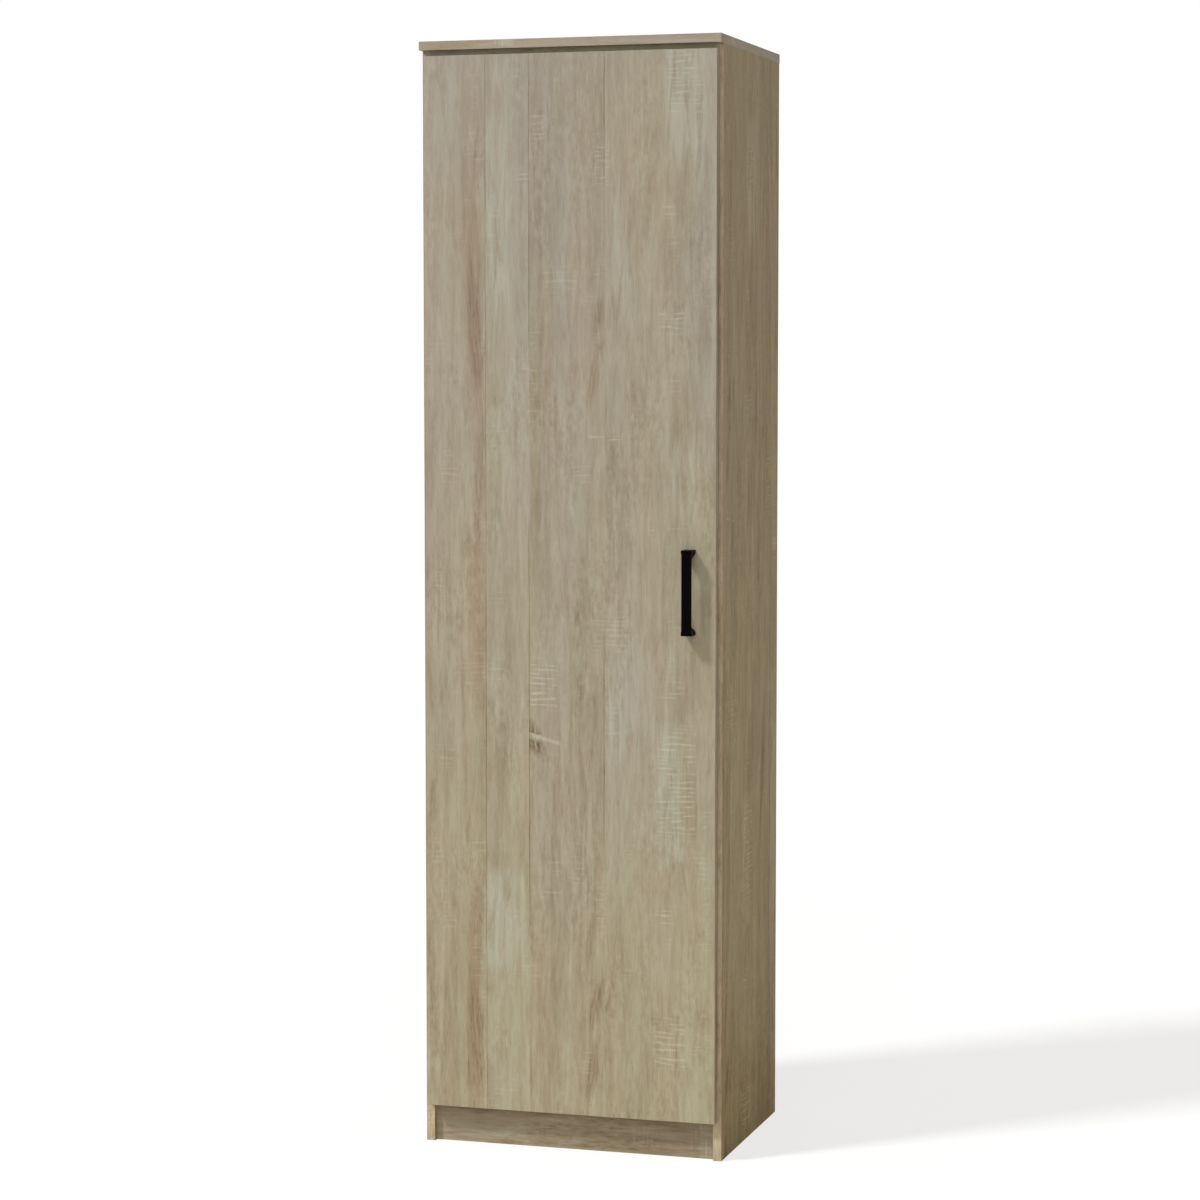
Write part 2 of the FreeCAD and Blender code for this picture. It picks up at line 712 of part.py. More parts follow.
# Shelf pins: a shank in the panel, a collar against it and a peg under the shelf.
for name, level in SHELF_LEVELS.items():
    pins = []
    for hand, way in HANDS.items():
        for column_index, column in enumerate(PIN_COLUMNS):
            tag = f"pin_{name}_{hand}_{column_index}"
            start = (way["inner"], f"side_front + {column}", f"{level} - pin_radius")
            shank = rod(tag + "_shank", "pin_radius", "pin_depth", start, way["into"])
            peg = rod(tag + "_peg", "pin_radius", "pin_reach", start, way["out"])
            collar = rod(tag + "_collar", "pin_collar_radius", "pin_collar_thickness", start, way["out"])
            pins.append(join(tag, [shank, collar, peg]))
    node(f"shelf_pins_{name}", gather(f"shelf_pins_{name}", pins))

# Wall bracket under the top board, with its screws.
bracket_top = block("bracket_top", ("bracket_width", "bracket_leg", "bracket_thickness"),
                    ("-bracket_width / 2", "panel_back - bracket_leg", "top_under - bracket_thickness"))
bracket_back = block("bracket_back", ("bracket_width", "bracket_thickness", "bracket_leg"),
                     ("-bracket_width / 2", "panel_back - bracket_thickness", "top_under - bracket_leg"))
bracket_cuts = [
    rod("bracket_hole", "bracket_hole_radius", "bracket_thickness + 2 * overrun",
        ("0", "panel_back - bracket_thickness - overrun", "top_under - bracket_hole_drop"), "+Y")
]
bracket_screws = []
for index, sign in enumerate((-1, 1)):
    across = f"{sign} * bracket_screw_spread / 2"
    depth_place = "panel_back - bracket_screw_inset"
    bracket_cuts.append(rod(f"bracket_screw_hole_{index}", "wood_screw_radius + screw_hole_clearance",
                            "bracket_thickness + 2 * overrun",
                            (across, depth_place, "top_under - bracket_thickness - overrun"), "+Z"))
    shank = rod(f"bracket_screw_shank_{index}", "wood_screw_radius", "wood_screw_length",
                (across, depth_place, "top_under - bracket_thickness"), "+Z")
    head = rod(f"bracket_screw_head_{index}", "wood_screw_head_radius", "wood_screw_head_length",
               (across, depth_place, "top_under - bracket_thickness - wood_screw_head_length"), "+Z")
    bracket_screws.append(join(f"bracket_screw_{index}", [shank, head]))
node("wall_bracket", cut("wall_bracket", join("bracket_blank", [bracket_top, bracket_back]), bracket_cuts))
node("bracket_screws", gather("bracket_screws", bracket_screws))

# Door: cup bores, screw holes and rounded front edges.
door = board("door_panel", "facing", "door_width", "door_height", "door_thickness",
             ("door_left", "door_front", "door_bottom"))


def door_level(level):
    return f"{level} - door_bottom"


bores = sketch_on(door, "facing", "-door_thickness")
rings(bores, "cup_radius + cup_bore_clearance",
      [("cup_edge_distance + cup_radius", door_level(level)) for level in HINGE_LEVELS.values()])
pocket(door, bores, "cup_depth + cup_bore_extra", True)
cup_holes = sketch_on(door, "facing", "-door_thickness")
rings(cup_holes, "wood_screw_radius + screw_hole_clearance",
      [("cup_edge_distance + cup_radius + cup_screw_offset",
        f"{door_level(level)} + {sign} * cup_screw_spread")
       for level in HINGE_LEVELS.values() for sign in (-1, 1)])
pocket(door, cup_holes, "cup_screw_length", True)
pull_holes = sketch_on(door, "facing", "-door_thickness")
rings(pull_holes, "handle_screw_radius + screw_hole_clearance",
      [("door_width - handle_edge_inset", f"door_height / 2 + {sign} * handle_hole_spacing / 2")
       for sign in (-1, 1)])
pocket(door, pull_holes, "door_thickness", True)
doc.recompute()
drilled = door.Tip
front_edges = [f"Edge{index}" for index, edge in enumerate(drilled.Shape.Edges, start=1)
               if edge.BoundBox.YLength < TOLERANCE and abs(edge.BoundBox.YMin) < TOLERANCE
               and max(edge.BoundBox.XLength, edge.BoundBox.ZLength) > sheet.handle_length]
rounding = door.newObject("PartDesign::Fillet", "door_panel_rounding")
rounding.Base = (drilled, front_edges)
bind(rounding, "Radius", "door_edge_radius")


# Handle: a bow whose side view and front view are both drawn, and whose common shape is kept.
# The side view runs from the door's face outwards; the front view is a little waisted.
HANDLE_HALF = sheet.handle_length / 2
FOOT_MIDDLE = HANDLE_HALF - sheet.handle_foot_length / 2
FOOT_INNER = HANDLE_HALF - sheet.handle_foot_length
LEG_INNER = HANDLE_HALF - sheet.handle_leg_length
BAR_INNER = sheet.handle_projection - sheet.handle_bar_thickness


def closed_face(points):
    """A flat face through corner points."""
    return Part.Face(Part.makePolygon(points + points[:1]))


def rounded(solid, chosen, radius):
    edges = [edge for edge in solid.Edges if chosen(edge)]
    return solid.makeFillet(radius, edges)


def handle_shape():
    """The handle about its own middle: Z along the bar, the door's face at Y zero, the grip at -Y."""
    side_view = [
        (0, -HANDLE_HALF), (sheet.handle_projection, -HANDLE_HALF),
        (sheet.handle_projection, HANDLE_HALF), (0, HANDLE_HALF),
        (0, FOOT_INNER), (BAR_INNER, LEG_INNER), (BAR_INNER, -LEG_INNER), (0, -FOOT_INNER),
    ]
    half = sheet.handle_end_width / 2
    waist = sheet.handle_width / 2
    end = HANDLE_HALF - sheet.handle_end_length
    blend = sheet.handle_end_length
    points = [FreeCAD.Vector(-half, -away, up) for away, up in side_view]
    bow = closed_face(points).extrude(FreeCAD.Vector(2 * half, 0, 0))
    corner = sheet.handle_corner
    bow = rounded(bow, lambda edge: abs(edge.BoundBox.XLength - 2 * half) < TOLERANCE
                  and abs(edge.BoundBox.YMin + sheet.handle_projection) < TOLERANCE, corner)
    bow = rounded(bow, lambda edge: abs(edge.BoundBox.XLength - 2 * half) < TOLERANCE
                  and abs(edge.BoundBox.YMin + BAR_INNER) < TOLERANCE
                  and abs(abs(edge.BoundBox.ZMin) - LEG_INNER) < TOLERANCE, sheet.handle_haunch)
    outline = [
        (half, HANDLE_HALF), (half, end), (waist, end - blend), (waist, blend - end), (half, -end),
        (half, -HANDLE_HALF), (-half, -HANDLE_HALF), (-half, -end), (-waist, blend - end),
        (-waist, end - blend), (-half, end), (-half, HANDLE_HALF),
    ]
    front = closed_face([FreeCAD.Vector(across, 0, up) for across, up in outline])
    front = front.extrude(FreeCAD.Vector(0, -sheet.handle_projection, 0))
    grip = bow.common(front)
    grip = rounded(grip, lambda edge: abs(edge.BoundBox.YMin + sheet.handle_projection) < TOLERANCE
                   and edge.BoundBox.YLength < TOLERANCE
                   and edge.BoundBox.ZLength > edge.BoundBox.XLength, sheet.handle_edge_radius)
    for sign in (-1, 1):
        start = FreeCAD.Vector(0, 0, sign * FOOT_MIDDLE)
        grip = grip.cut(Part.makeCylinder(sheet.handle_screw_radius + sheet.screw_hole_clearance,
                                          sheet.handle_screw_bite, start, FreeCAD.Vector(0, -1, 0)))
    return grip


handle = doc.addObject("Part::Feature", "handle")
handle.Shape = handle_shape()
place(handle, ("handle_x", "door_front", "handle_z"))
node("handle", handle)

pull_screws = []
for index, sign in enumerate((-1, 1)):
    seat = ("handle_x", "door_back", f"handle_z + {sign} * handle_hole_spacing / 2")
    pull_screws.append(headed_pin(f"handle_screw_{index}", "handle_screw_radius",
                                  "door_thickness + handle_screw_bite - overrun", "handle_screw_head_radius",
                                  "handle_screw_head_length", seat, "-Y", "+Y"))
node("handle_screws", gather("handle_screws", pull_screws))

buffers = [
    rod(f"buffer_{index}", "buffer_radius", "buffer_thickness",
        ("door_left + door_width - buffer_edge_inset", "door_back", f"door_bottom + {rise}"), "+Y")
    for index, rise in enumerate(("buffer_end_inset", "door_height - buffer_end_inset"))
]
node("door_buffers", gather("door_buffers", buffers))


# Hinges: a cup in the door, an arm and its plate on the left panel, and two links between them.
def eye(name, centre_x, centre_y, radius, low, high, level):
    return rod(name, radius, f"({high}) - ({low})", (centre_x, centre_y, f"{level} + ({low})"), "+Z")


def strap(name, start, end, low, high, level, radius="link_eye_radius"):
    """A flat link with round ends between two upright axes."""
    bar = doc.addObject("Part::Box", name + "_bar")
    run = f"sqrt(({end[0]} - ({start[0]}))^2 + ({end[1]} - ({start[1]}))^2)"
    angle = f"atan2({end[1]} - ({start[1]}); {end[0]} - ({start[0]}))"
    bind(bar, "Length", run)
    bind(bar, "Width", f"2 * {radius}")
    bind(bar, "Height", f"({high}) - ({low})")
    bind(bar, "Placement.Rotation.Angle", angle)
    place(bar, (f"{start[0]} + {radius} * sin({angle})", f"{start[1]} - {radius} * cos({angle})",
                f"{level} + ({low})"))
    ends = [eye(f"{name}_eye_{index}", point[0], point[1], radius, low, high, level)
            for index, point in enumerate((start, end))]
    return join(name, [bar] + ends)


ARM_PIVOT = ("arm_pivot_x", "arm_pivot_y")
CUP_PIVOT = ("cup_pivot_x", "cup_pivot_y")
KNEE = ("knee_x", "knee_y")
PIN_BORE = "hinge_pin_radius + hinge_pin_clearance"


def hinge_cup(name, level):
    """The pressed cup with its flange, wings and two seats for the pin."""
    mouth = ("cup_centre", "door_back", level)
    bowl = rod(f"cup_bowl_{name}", "cup_radius", "cup_depth", mouth, "-Y")
    rim = rod(f"cup_rim_{name}", "flange_radius", "flange_thickness", mouth, "+Y")
    wings = block(f"cup_wings_{name}", ("flange_wing_reach", "flange_thickness", "2 * flange_wing_half"),
                  ("cup_centre", "door_back", f"{level} - flange_wing_half"))
    hollow = rod(f"cup_hollow_{name}", "cup_radius - cup_wall",
                 "cup_depth - cup_wall + flange_thickness + overrun",
                 ("cup_centre", "door_back - cup_depth + cup_wall", level), "+Y")
    screw_x = "cup_centre + cup_screw_offset"
    holes = [rod(f"cup_screw_hole_{name}_{index}", "wood_screw_radius + screw_hole_clearance",
                 "flange_thickness + 2 * overrun",
                 (screw_x, "door_back - overrun", f"{level} + {sign} * cup_screw_spread"), "+Y")
             for index, sign in enumerate((-1, 1))]
    shell = cut(f"cup_shell_{name}", join(f"cup_blank_{name}", [bowl, rim, wings]), [hollow] + holes)
    seats = []
    for index, low in enumerate(("seat_start", "-cup_radius")):
        seat = block(f"cup_seat_{name}_{index}",
                     ("2 * seat_half_length", "cup_depth - seat_top_depth", "cup_radius - seat_start"),
                     ("cup_pivot_x - seat_half_length", "door_back - cup_depth", f"{level} + {low}"))
        seats.append(seat)
    inside = rod(f"cup_inside_{name}", "cup_radius", "cup_depth", mouth, "-Y")
    kept = doc.addObject("Part::MultiCommon", f"cup_seats_{name}")
    kept.Shapes = [gather(f"cup_seat_pair_{name}", seats), inside]
    bore = eye(f"cup_pin_bore_{name}", *CUP_PIVOT, PIN_BORE, "-cup_pin_half", "cup_pin_half", level)
    return cut(f"hinge_cup_{name}", join(f"cup_whole_{name}", [shell, kept]), [bore])


def hinge_arm(name, level):
    """A channel that rests on the plate's block, with the first pivot between its cheeks."""
    cheeks = [block(f"arm_cheek_{name}_{index}",
                    ("arm_web_outer - plate_top - arm_plate_gap", "arm_end - arm_pivot_back + arm_nose",
                     "cheek_outer - cheek_inner"),
                    ("plate_top + arm_plate_gap", "arm_pivot_y - arm_nose", f"{level} + {low}"))
              for index, low in enumerate(("cheek_inner", "-cheek_outer"))]
    web = block(f"arm_web_{name}", ("arm_web_thickness", "arm_end - arm_web_start", "2 * cheek_outer"),
                ("arm_web_inner", "door_back + arm_web_start", f"{level} - cheek_outer"))
    bore = eye(f"arm_pin_bore_{name}", *ARM_PIVOT, PIN_BORE,
               "-cheek_outer - overrun", "cheek_outer + overrun", level)
    screw = rod(f"arm_screw_bore_{name}", "arm_screw_radius + screw_hole_clearance",
                "arm_web_thickness + 2 * overrun",
                ("arm_web_inner - overrun", "door_back + arm_screw_inset", level), "+X")
    return cut(f"hinge_arm_{name}", join(f"arm_blank_{name}", cheeks + [web]), [bore, screw])


def hinge_plate(name, level):
    """The mounting plate: a wing for two screws and a block under the arm."""
    wing_length = "plate_wing_end - plate_wing_start"
    block_length = "plate_block_end - plate_block_start"
    wing = block(f"plate_wing_{name}", ("plate_base", wing_length, "2 * plate_wing_half"),
                 ("panel_inner", "door_back + plate_wing_start", f"{level} - plate_wing_half"))
    middle = block(f"plate_block_{name}",
                   ("arm_web_inner - panel_inner", block_length, "2 * plate_block_half"),
                   ("panel_inner", "door_back + plate_block_start", f"{level} - plate_block_half"))
    holes = []
    for index, sign in enumerate((-1, 1)):
        start = ("panel_inner - overrun", "side_front + plate_screw_inset",
                 f"{level} + {sign} * plate_screw_spread")
        holes.append(rod(f"plate_hole_{name}_{index}", "plate_screw_radius + screw_hole_clearance",
                         "plate_base + 2 * overrun", start, "+X"))
    thread = rod(f"plate_thread_{name}", "arm_screw_radius + screw_hole_clearance", "arm_screw_length",
                 ("arm_web_inner", "door_back + arm_screw_inset", level), "-X")
    return cut(f"hinge_plate_{name}", join(f"plate_blank_{name}", [wing, middle]), holes + [thread])


def arm_link(name, level):
    blank = strap(f"arm_link_blank_{name}", ARM_PIVOT, KNEE, "-arm_link_half", "arm_link_half", level)
    bores = [eye(f"arm_link_bore_{name}_{index}", *point, PIN_BORE, "-arm_link_half - overrun",
                 "arm_link_half + overrun", level) for index, point in enumerate((ARM_PIVOT, KNEE))]
    return cut(f"hinge_arm_link_{name}", blank, bores)


def cup_link(name, level):
    """Two straps either side of the arm link, joined by a bridge between the pivots."""
    layers = (("strap_inner", "strap_outer"), ("-strap_outer", "-strap_inner"))
    straps = [strap(f"cup_strap_{name}_{index}", CUP_PIVOT, KNEE, low, high, level)
              for index, (low, high) in enumerate(layers)]
    bridge = doc.addObject("Part::Box", f"cup_bridge_{name}")
    angle = f"atan2({KNEE[1]} - {CUP_PIVOT[1]}; {KNEE[0]} - {CUP_PIVOT[0]})"
    bind(bridge, "Length", "bridge_end - bridge_start")
    bind(bridge, "Width", "2 * bridge_half_thickness")
    bind(bridge, "Height", "2 * strap_outer")
    bind(bridge, "Placement.Rotation.Angle", angle)
    place(bridge, (
        f"{CUP_PIVOT[0]} + bridge_start * cos({angle}) + bridge_half_thickness * sin({angle})",
        f"{CUP_PIVOT[1]} + bridge_start * sin({angle}) - bridge_half_thickness * cos({angle})",
        f"{level} - strap_outer"))
    bores = [eye(f"cup_link_bore_{name}_{index}", *point, PIN_BORE, "-strap_outer - overrun",
                 "strap_outer + overrun", level) for index, point in enumerate((CUP_PIVOT, KNEE))]
    return cut(f"hinge_cup_link_{name}", join(f"cup_link_blank_{name}", straps + [bridge]), bores)


hinge_pins = {"cup": [], "arm": [], "knee": []}
cup_screws = []
plate_screws = []
arm_screws = []
for name, level in HINGE_LEVELS.items():
    for make, kind in ((hinge_cup, "hinge_cup"), (hinge_arm, "hinge_arm"), (hinge_plate, "hinge_plate"),
                       (arm_link, "hinge_arm_link"), (cup_link, "hinge_cup_link")):
        node(f"{kind}_{name}", make(name, level))
    for kind, pivot in (("cup", CUP_PIVOT), ("arm", ARM_PIVOT), ("knee", KNEE)):
        hinge_pins[kind].append(eye(f"{kind}_pin_{name}", *pivot, "hinge_pin_radius",
                                    f"-{kind}_pin_half", f"{kind}_pin_half", level))
    for index, sign in enumerate((-1, 1)):
        seat = ("cup_centre + cup_screw_offset", "door_back + flange_thickness",
                f"{level} + {sign} * cup_screw_spread")
        screw = headed_pin(f"cup_screw_{name}_{index}", "wood_screw_radius", "cup_screw_length",
                           "wood_screw_head_radius", "screw_head_over_flange", seat, "-Y", "+Y")
        cup_screws.append(screw)
        seat = ("plate_top", "side_front + plate_screw_inset", f"{level} + {sign} * plate_screw_spread")
        screw = headed_pin(f"plate_screw_{name}_{index}", "plate_screw_radius", "plate_screw_length",
                           "plate_screw_head_radius", "plate_screw_head_length", seat, "-X", "+X")
        plate_screws.append(screw)
    seat = ("arm_web_outer", "door_back + arm_screw_inset", level)
    arm_screws.append(headed_pin(f"arm_screw_{name}", "arm_screw_radius", "arm_screw_length",
                                 "arm_screw_head_radius", "arm_screw_head_length", seat, "-X", "+X"))
for kind, pins in hinge_pins.items():
    node(f"hinge_{kind}_pins", gather(f"hinge_{kind}_pins", pins))
node("hinge_cup_screws", gather("hinge_cup_screws", cup_screws))
node("hinge_plate_screws", gather("hinge_plate_screws", plate_screws))
node("hinge_arm_screws", gather("hinge_arm_screws", arm_screws))

# Check every object and every finished piece, then write the files.
doc.recompute()
for item in doc.Objects:
    if {"Invalid", "Error"} & set(item.State):
        raise ValueError(f"{item.Label} failed: {item.State}")
for item in NODES:
    if item.Shape.isNull() or not item.Shape.isValid():
        raise ValueError(item.Label + " has no valid shape")

os.makedirs("parts", exist_ok=True)
for item in NODES:
    item.Shape.exportStep(f"parts/{item.Label}.step")
    print(item.Label, len(item.Shape.Solids), round(item.Shape.Volume), "mm3")
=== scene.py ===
"""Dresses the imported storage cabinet: decor boards, hardware, studio and camera."""

import logging
import math
from dataclasses import dataclass, field
from enum import Enum
from typing import Iterable, Optional, Sequence, Union

import bmesh
import bpy
from mathutils import Matrix, Vector


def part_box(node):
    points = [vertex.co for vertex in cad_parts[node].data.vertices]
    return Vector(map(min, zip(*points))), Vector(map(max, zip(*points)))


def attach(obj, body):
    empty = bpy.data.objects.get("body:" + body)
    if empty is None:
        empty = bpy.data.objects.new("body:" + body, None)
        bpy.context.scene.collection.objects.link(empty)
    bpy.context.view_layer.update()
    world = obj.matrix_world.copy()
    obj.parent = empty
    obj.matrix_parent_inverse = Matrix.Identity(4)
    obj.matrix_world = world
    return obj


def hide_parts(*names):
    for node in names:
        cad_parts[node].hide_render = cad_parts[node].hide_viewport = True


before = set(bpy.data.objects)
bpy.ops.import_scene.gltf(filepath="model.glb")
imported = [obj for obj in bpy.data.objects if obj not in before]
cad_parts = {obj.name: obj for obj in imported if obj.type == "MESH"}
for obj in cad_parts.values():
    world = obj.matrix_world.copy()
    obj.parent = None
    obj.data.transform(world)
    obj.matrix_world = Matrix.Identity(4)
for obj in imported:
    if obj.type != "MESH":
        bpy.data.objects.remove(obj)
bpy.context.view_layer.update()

LOG = logging.getLogger("storage_cabinet")
MM = 0.001
TURN = 2 * math.pi
FACING = 0.7                 # how far a normal leans to a direction that its face looks in
FLAT_ANGLE = math.radians(0.5)   # faces that differ less lie in one plane
EDGE_ANGLE = math.radians(50)    # faces that differ more meet in an edge
SAME_PLACE = 0.001 * MM      # corners this close are one
ROUNDED = 6                  # decimal places to which measured sizes are rounded
MIX_COLOURS = (0, 6, 7, 2)   # a Mix node's share, first, second and result, for colours
MIX_NUMBERS = (0, 2, 3, 0)   # the same for numbers

Shade = tuple[int, int, int]                 # a colour as a screen shows it, 0 to 255
Tones = tuple[tuple[float, Shade], ...]      # places on a ramp, each with its shade
Tint = tuple[float, float, float]            # what a colour is multiplied by, or a lamp's
Linear = tuple[float, float, float, float]   # a colour as a shader takes it
Step = tuple[float, float]                   # where a soft step starts and ends
Shares = tuple[tuple[str, float], ...]       # how much each layer counts
Socket = bpy.types.NodeSocket
Plug = Union[Socket, float, int, Sequence[float]]


def paint(red: int, green: int, blue: int) -> Linear:
    """Turns a colour as seen on a screen into the linear values that a shader takes.

    Args:
        red: red share, 0 to 255.
        green: green share, 0 to 255.
        blue: blue share, 0 to 255.

    Returns:
        The four linear values, with the last one 1.
    """
    def line(share: int) -> float:
        """Straightens one share."""
        level = share / 255
        return level / 12.92 if level <= 0.04045 else ((level + 0.055) / 1.055) ** 2.4

    return line(red), line(green), line(blue), 1.0


def painted(tones: Tones) -> list[tuple[float, Linear]]:
    """Turns a ramp's shades into linear colours."""
    return [(stop, paint(*shade)) for stop, shade in tones]


class Axis(Enum):
    """The three directions of the shared frame."""

    ACROSS = 0
    DEPTH = 1
    UP = 2


class Face(Enum):
    """The sides on which boards are left bare, as axis and sign."""

    LEFT = (0, -1)
    RIGHT = (0, 1)
    BACK = (1, 1)
    UNDER = (2, -1)
    TOP = (2, 1)


class Body(Enum):
    """The bodies that new pieces ride on."""

    CARCASS = "carcass"
    DOOR = "door"


class Slot(Enum):
    """The record's material slots named for new pieces; their finish comes from the material
    given with them.
    """

    BEECH = "beech"
    NICKEL = "nickel_steel"
    ZINC = "zinc_steel"
    BUFFER = "clear_buffer"


class Bench:
    """Adds and links the nodes of one node tree."""

    def __init__(self, tree: bpy.types.NodeTree) -> None:
        """Keeps the tree that nodes go into."""
        self.tree = tree

    def node(self, kind: str, **settings: object) -> bpy.types.Node:
        """Adds one node.

        Args:
            kind: the node's type, without the leading ShaderNode.
            settings: properties to set on it.

        Returns:
            The new node.
        """
        made = self.tree.nodes.new(kind if kind.startswith("Node") else "ShaderNode" + kind)
        for name, value in settings.items():
            setattr(made, name, value)
        return made

    def plug(self, socket: Socket, value: Plug) -> None:
        """Links an input to another node's output, or sets its value.

        Args:
            socket: the input.
            value: the output or the value.
        """
        if isinstance(value, bpy.types.NodeSocket):
            self.tree.links.new(value, socket)
        else:
            socket.default_value = value

    def filled(self, kind: str, values: Iterable[Plug], **settings: object) -> Socket:
        """Adds one node and fills its inputs in their order.

        Args:
            kind: the node's type, without the leading ShaderNode.
            values: what its inputs take.
            settings: properties to set on it.

        Returns:
            Its first output.
        """
        made = self.node(kind, **settings)
        for socket, value in zip(made.inputs, values):
            self.plug(socket, value)
        return made.outputs[0]

    def math(self, operation: str, first: Plug, second: Plug = 0.0,
             third: Plug = 0.0) -> Socket:
        """Adds a Math node with up to three values."""
        return self.filled("Math", (first, second, third), operation=operation)

    def add(self, *values: Plug) -> Socket:
        """Adds several values up.

        Args:
            values: the values, at least two of them.

        Returns:
            Their sum.
        """
        total = values[0]
        for value in values[1:]:
            total = self.math("ADD", total, value)
        return total

    def times(self, first: Plug, second: Plug) -> Socket:
        """Multiplies two values."""
        return self.math("MULTIPLY", first, second)

    def away(self, first: Plug, second: Plug) -> Socket:
        """Subtracts the second value from the first."""
        return self.math("SUBTRACT", first, second)

    def scaled(self, value: Plug, amount: float, middle: float = 0.5) -> Socket:
        """Gives (value - middle) * amount."""
        return self.math("MULTIPLY_ADD", value, amount, -middle * amount)

    def weighed(self, layers: dict[str, Socket], shares: Shares) -> list[Socket]:
        """Gives each layer that is named, times its share."""
        return [self.times(layers[name], share) for name, share in shares]

    def smooth(self, value: Plug, start: float, end: float, low: float = 0.0,
               high: float = 1.0) -> Socket:
        """Passes a value through a soft step.

        Args:
            value: the value that is stepped.
            start: where the step starts.
            end: where the step ends.
            low: the result at the start.
            high: the result at the end.

        Returns:
            The stepped value.
        """
        if start > end:
            start, end, low, high = end, start, high, low
        return self.filled("MapRange", (value, start, end, low, high),
                           interpolation_type="SMOOTHSTEP")

    def point(self, first: Plug, second: Plug) -> Socket:
        """Joins two values into a flat vector."""
        return self.filled("CombineXYZ", (first, second, 0.0))

    def vector(self, operation: str, first: Plug, second: Plug = (0.0, 0.0, 0.0)) -> Socket:
        """Adds a Vector Math node."""
        return self.filled("VectorMath", (first, second), operation=operation)

    def split(self, value: Socket, kind: str = "SeparateXYZ") -> list[Socket]:
        """Takes a vector or colour apart.

        Args:
            value: the vector or colour.
            kind: the type of node that does it.

        Returns:
            Its three parts.
        """
        made = self.node(kind)
        self.plug(made.inputs[0], value)
        return list(made.outputs)

    def noise(self, place: Socket, scale: Union[float, tuple[float, float]],
              detail: float = 2.0, rough: float = 0.5, warp: float = 0.0,
              flat: bool = False) -> Socket:
        """Adds a noise texture.

        Args:
            place: the vector that it is read at.
            scale: its scale in every direction, or along the vector's first two values.
            detail: how many finer layers it has.
            rough: how strong the finer layers are.
            warp: how much it is bent out of shape.
            flat: whether only the first two values count.

        Returns:
            The noise value, about 0.5 on the whole.
        """
        if isinstance(scale, tuple):
            place, scale = self.vector("MULTIPLY", place, (*scale, 1.0)), 1.0
        made = self.node("TexNoise", noise_dimensions="2D" if flat else "3D")
        for name, value in (("Vector", place), ("Scale", scale), ("Detail", detail),
                            ("Roughness", rough), ("Distortion", warp)):
            self.plug(made.inputs[name], value)
        return made.outputs[0]

    def cells(self, place: Socket, scale: float) -> Socket:
        """Adds a cell texture.

        Args:
            place: the vector that it is read at.
            scale: its scale in every direction.

        Returns:
            A colour that differs from cell to cell.
        """
        made = self.node("TexVoronoi")
        self.plug(made.inputs["Vector"], place)
        self.plug(made.inputs["Scale"], scale)
        return made.outputs["Color"]

    def ramp(self, value: Plug, stops: Sequence[tuple[float, Linear]],
             stepped: bool = False) -> Socket:
        """Adds a colour ramp.

        Args:
            value: the value that it reads.
            stops: places between 0 and 1, each with its colour.
            stepped: whether colours jump at the stops.

        Returns:
            The colour.
        """
        made = self.node("ValToRGB")
        made.color_ramp.interpolation = "CONSTANT" if stepped else "LINEAR"
        elements = made.color_ramp.elements
        while len(elements) > 1:
            elements.remove(elements[-1])
        elements[0].position, elements[0].color = stops[0]
        for place, colour in stops[1:]:
            elements.new(place).color = colour
        self.plug(made.inputs[0], value)
        return made.outputs[0]

    def mixed(self, sockets: tuple[int, int, int, int], values: tuple[Plug, Plug, Plug],
              **settings: object) -> Socket:
        """Adds a Mix node.

        Args:
            sockets: the numbers of its share, first, second and result.
            values: the share, the first and the second.
            settings: properties to set on it.

        Returns:
            The result.
        """
        made = self.node("Mix", **settings)
        for number, value in zip(sockets, values):
            self.plug(made.inputs[number], value)
        return made.outputs[sockets[-1]]

    def blend(self, share: Plug, first: Plug, second: Plug, how: str = "MIX") -> Socket:
        """Mixes two colours: the first at share 0, the second worked in at share 1."""
        return self.mixed(MIX_COLOURS, (share, first, second), data_type="RGBA", blend_type=how)

    def choose(self, share: Plug, first: Plug, second: Plug) -> Socket:
        """Mixes two numbers: the first at share 0, the second at share 1."""
        return self.mixed(MIX_NUMBERS, (share, first, second), data_type="FLOAT")

    def bump(self, height: Socket, depth: float, strength: float) -> Socket:
        """Adds a bump node.

        Args:
            height: the relief, about 0 to 1.
            depth: how deep the relief is, in metres.
            strength: how much of it counts.

        Returns:
            The bent normal.
        """
        made = self.node("Bump")
        for name, value in (("Strength", strength), ("Distance", depth), ("Height", height)):
            self.plug(made.inputs[name], value)
        return made.outputs[0]

    def use(self, group: bpy.types.NodeTree, **values: Plug) -> bpy.types.Node:
        """Adds a node group.

        Args:
            group: the group.
            values: what its inputs take, by their names.

        Returns:
            The group's node.
        """
        made = self.node("Group", node_tree=group)
        for name, value in values.items():
            self.plug(made.inputs[name], value)
        return made

    def surface(self, shader: bpy.types.Node, colour: Socket, rough: Socket,
                normal: Socket) -> None:
        """Gives a shader what varies over the surface.

        Args:
            shader: the main shader node.
            colour: its base colour.
            rough: its roughness.
            normal: its bent normal.
        """
        for name, value in (("Base Color", colour), ("Roughness", rough), ("Normal", normal)):
            self.plug(shader.inputs[name], value)


def emptied(holder: Union[bpy.types.Material, bpy.types.World]) -> Bench:
    """Clears the nodes of a material or a world.

    Args:
        holder: the material or world.

    Returns:
        The bench for its empty tree.
    """
    holder.use_nodes = True
    holder.node_tree.nodes.clear()
    return Bench(holder.node_tree)


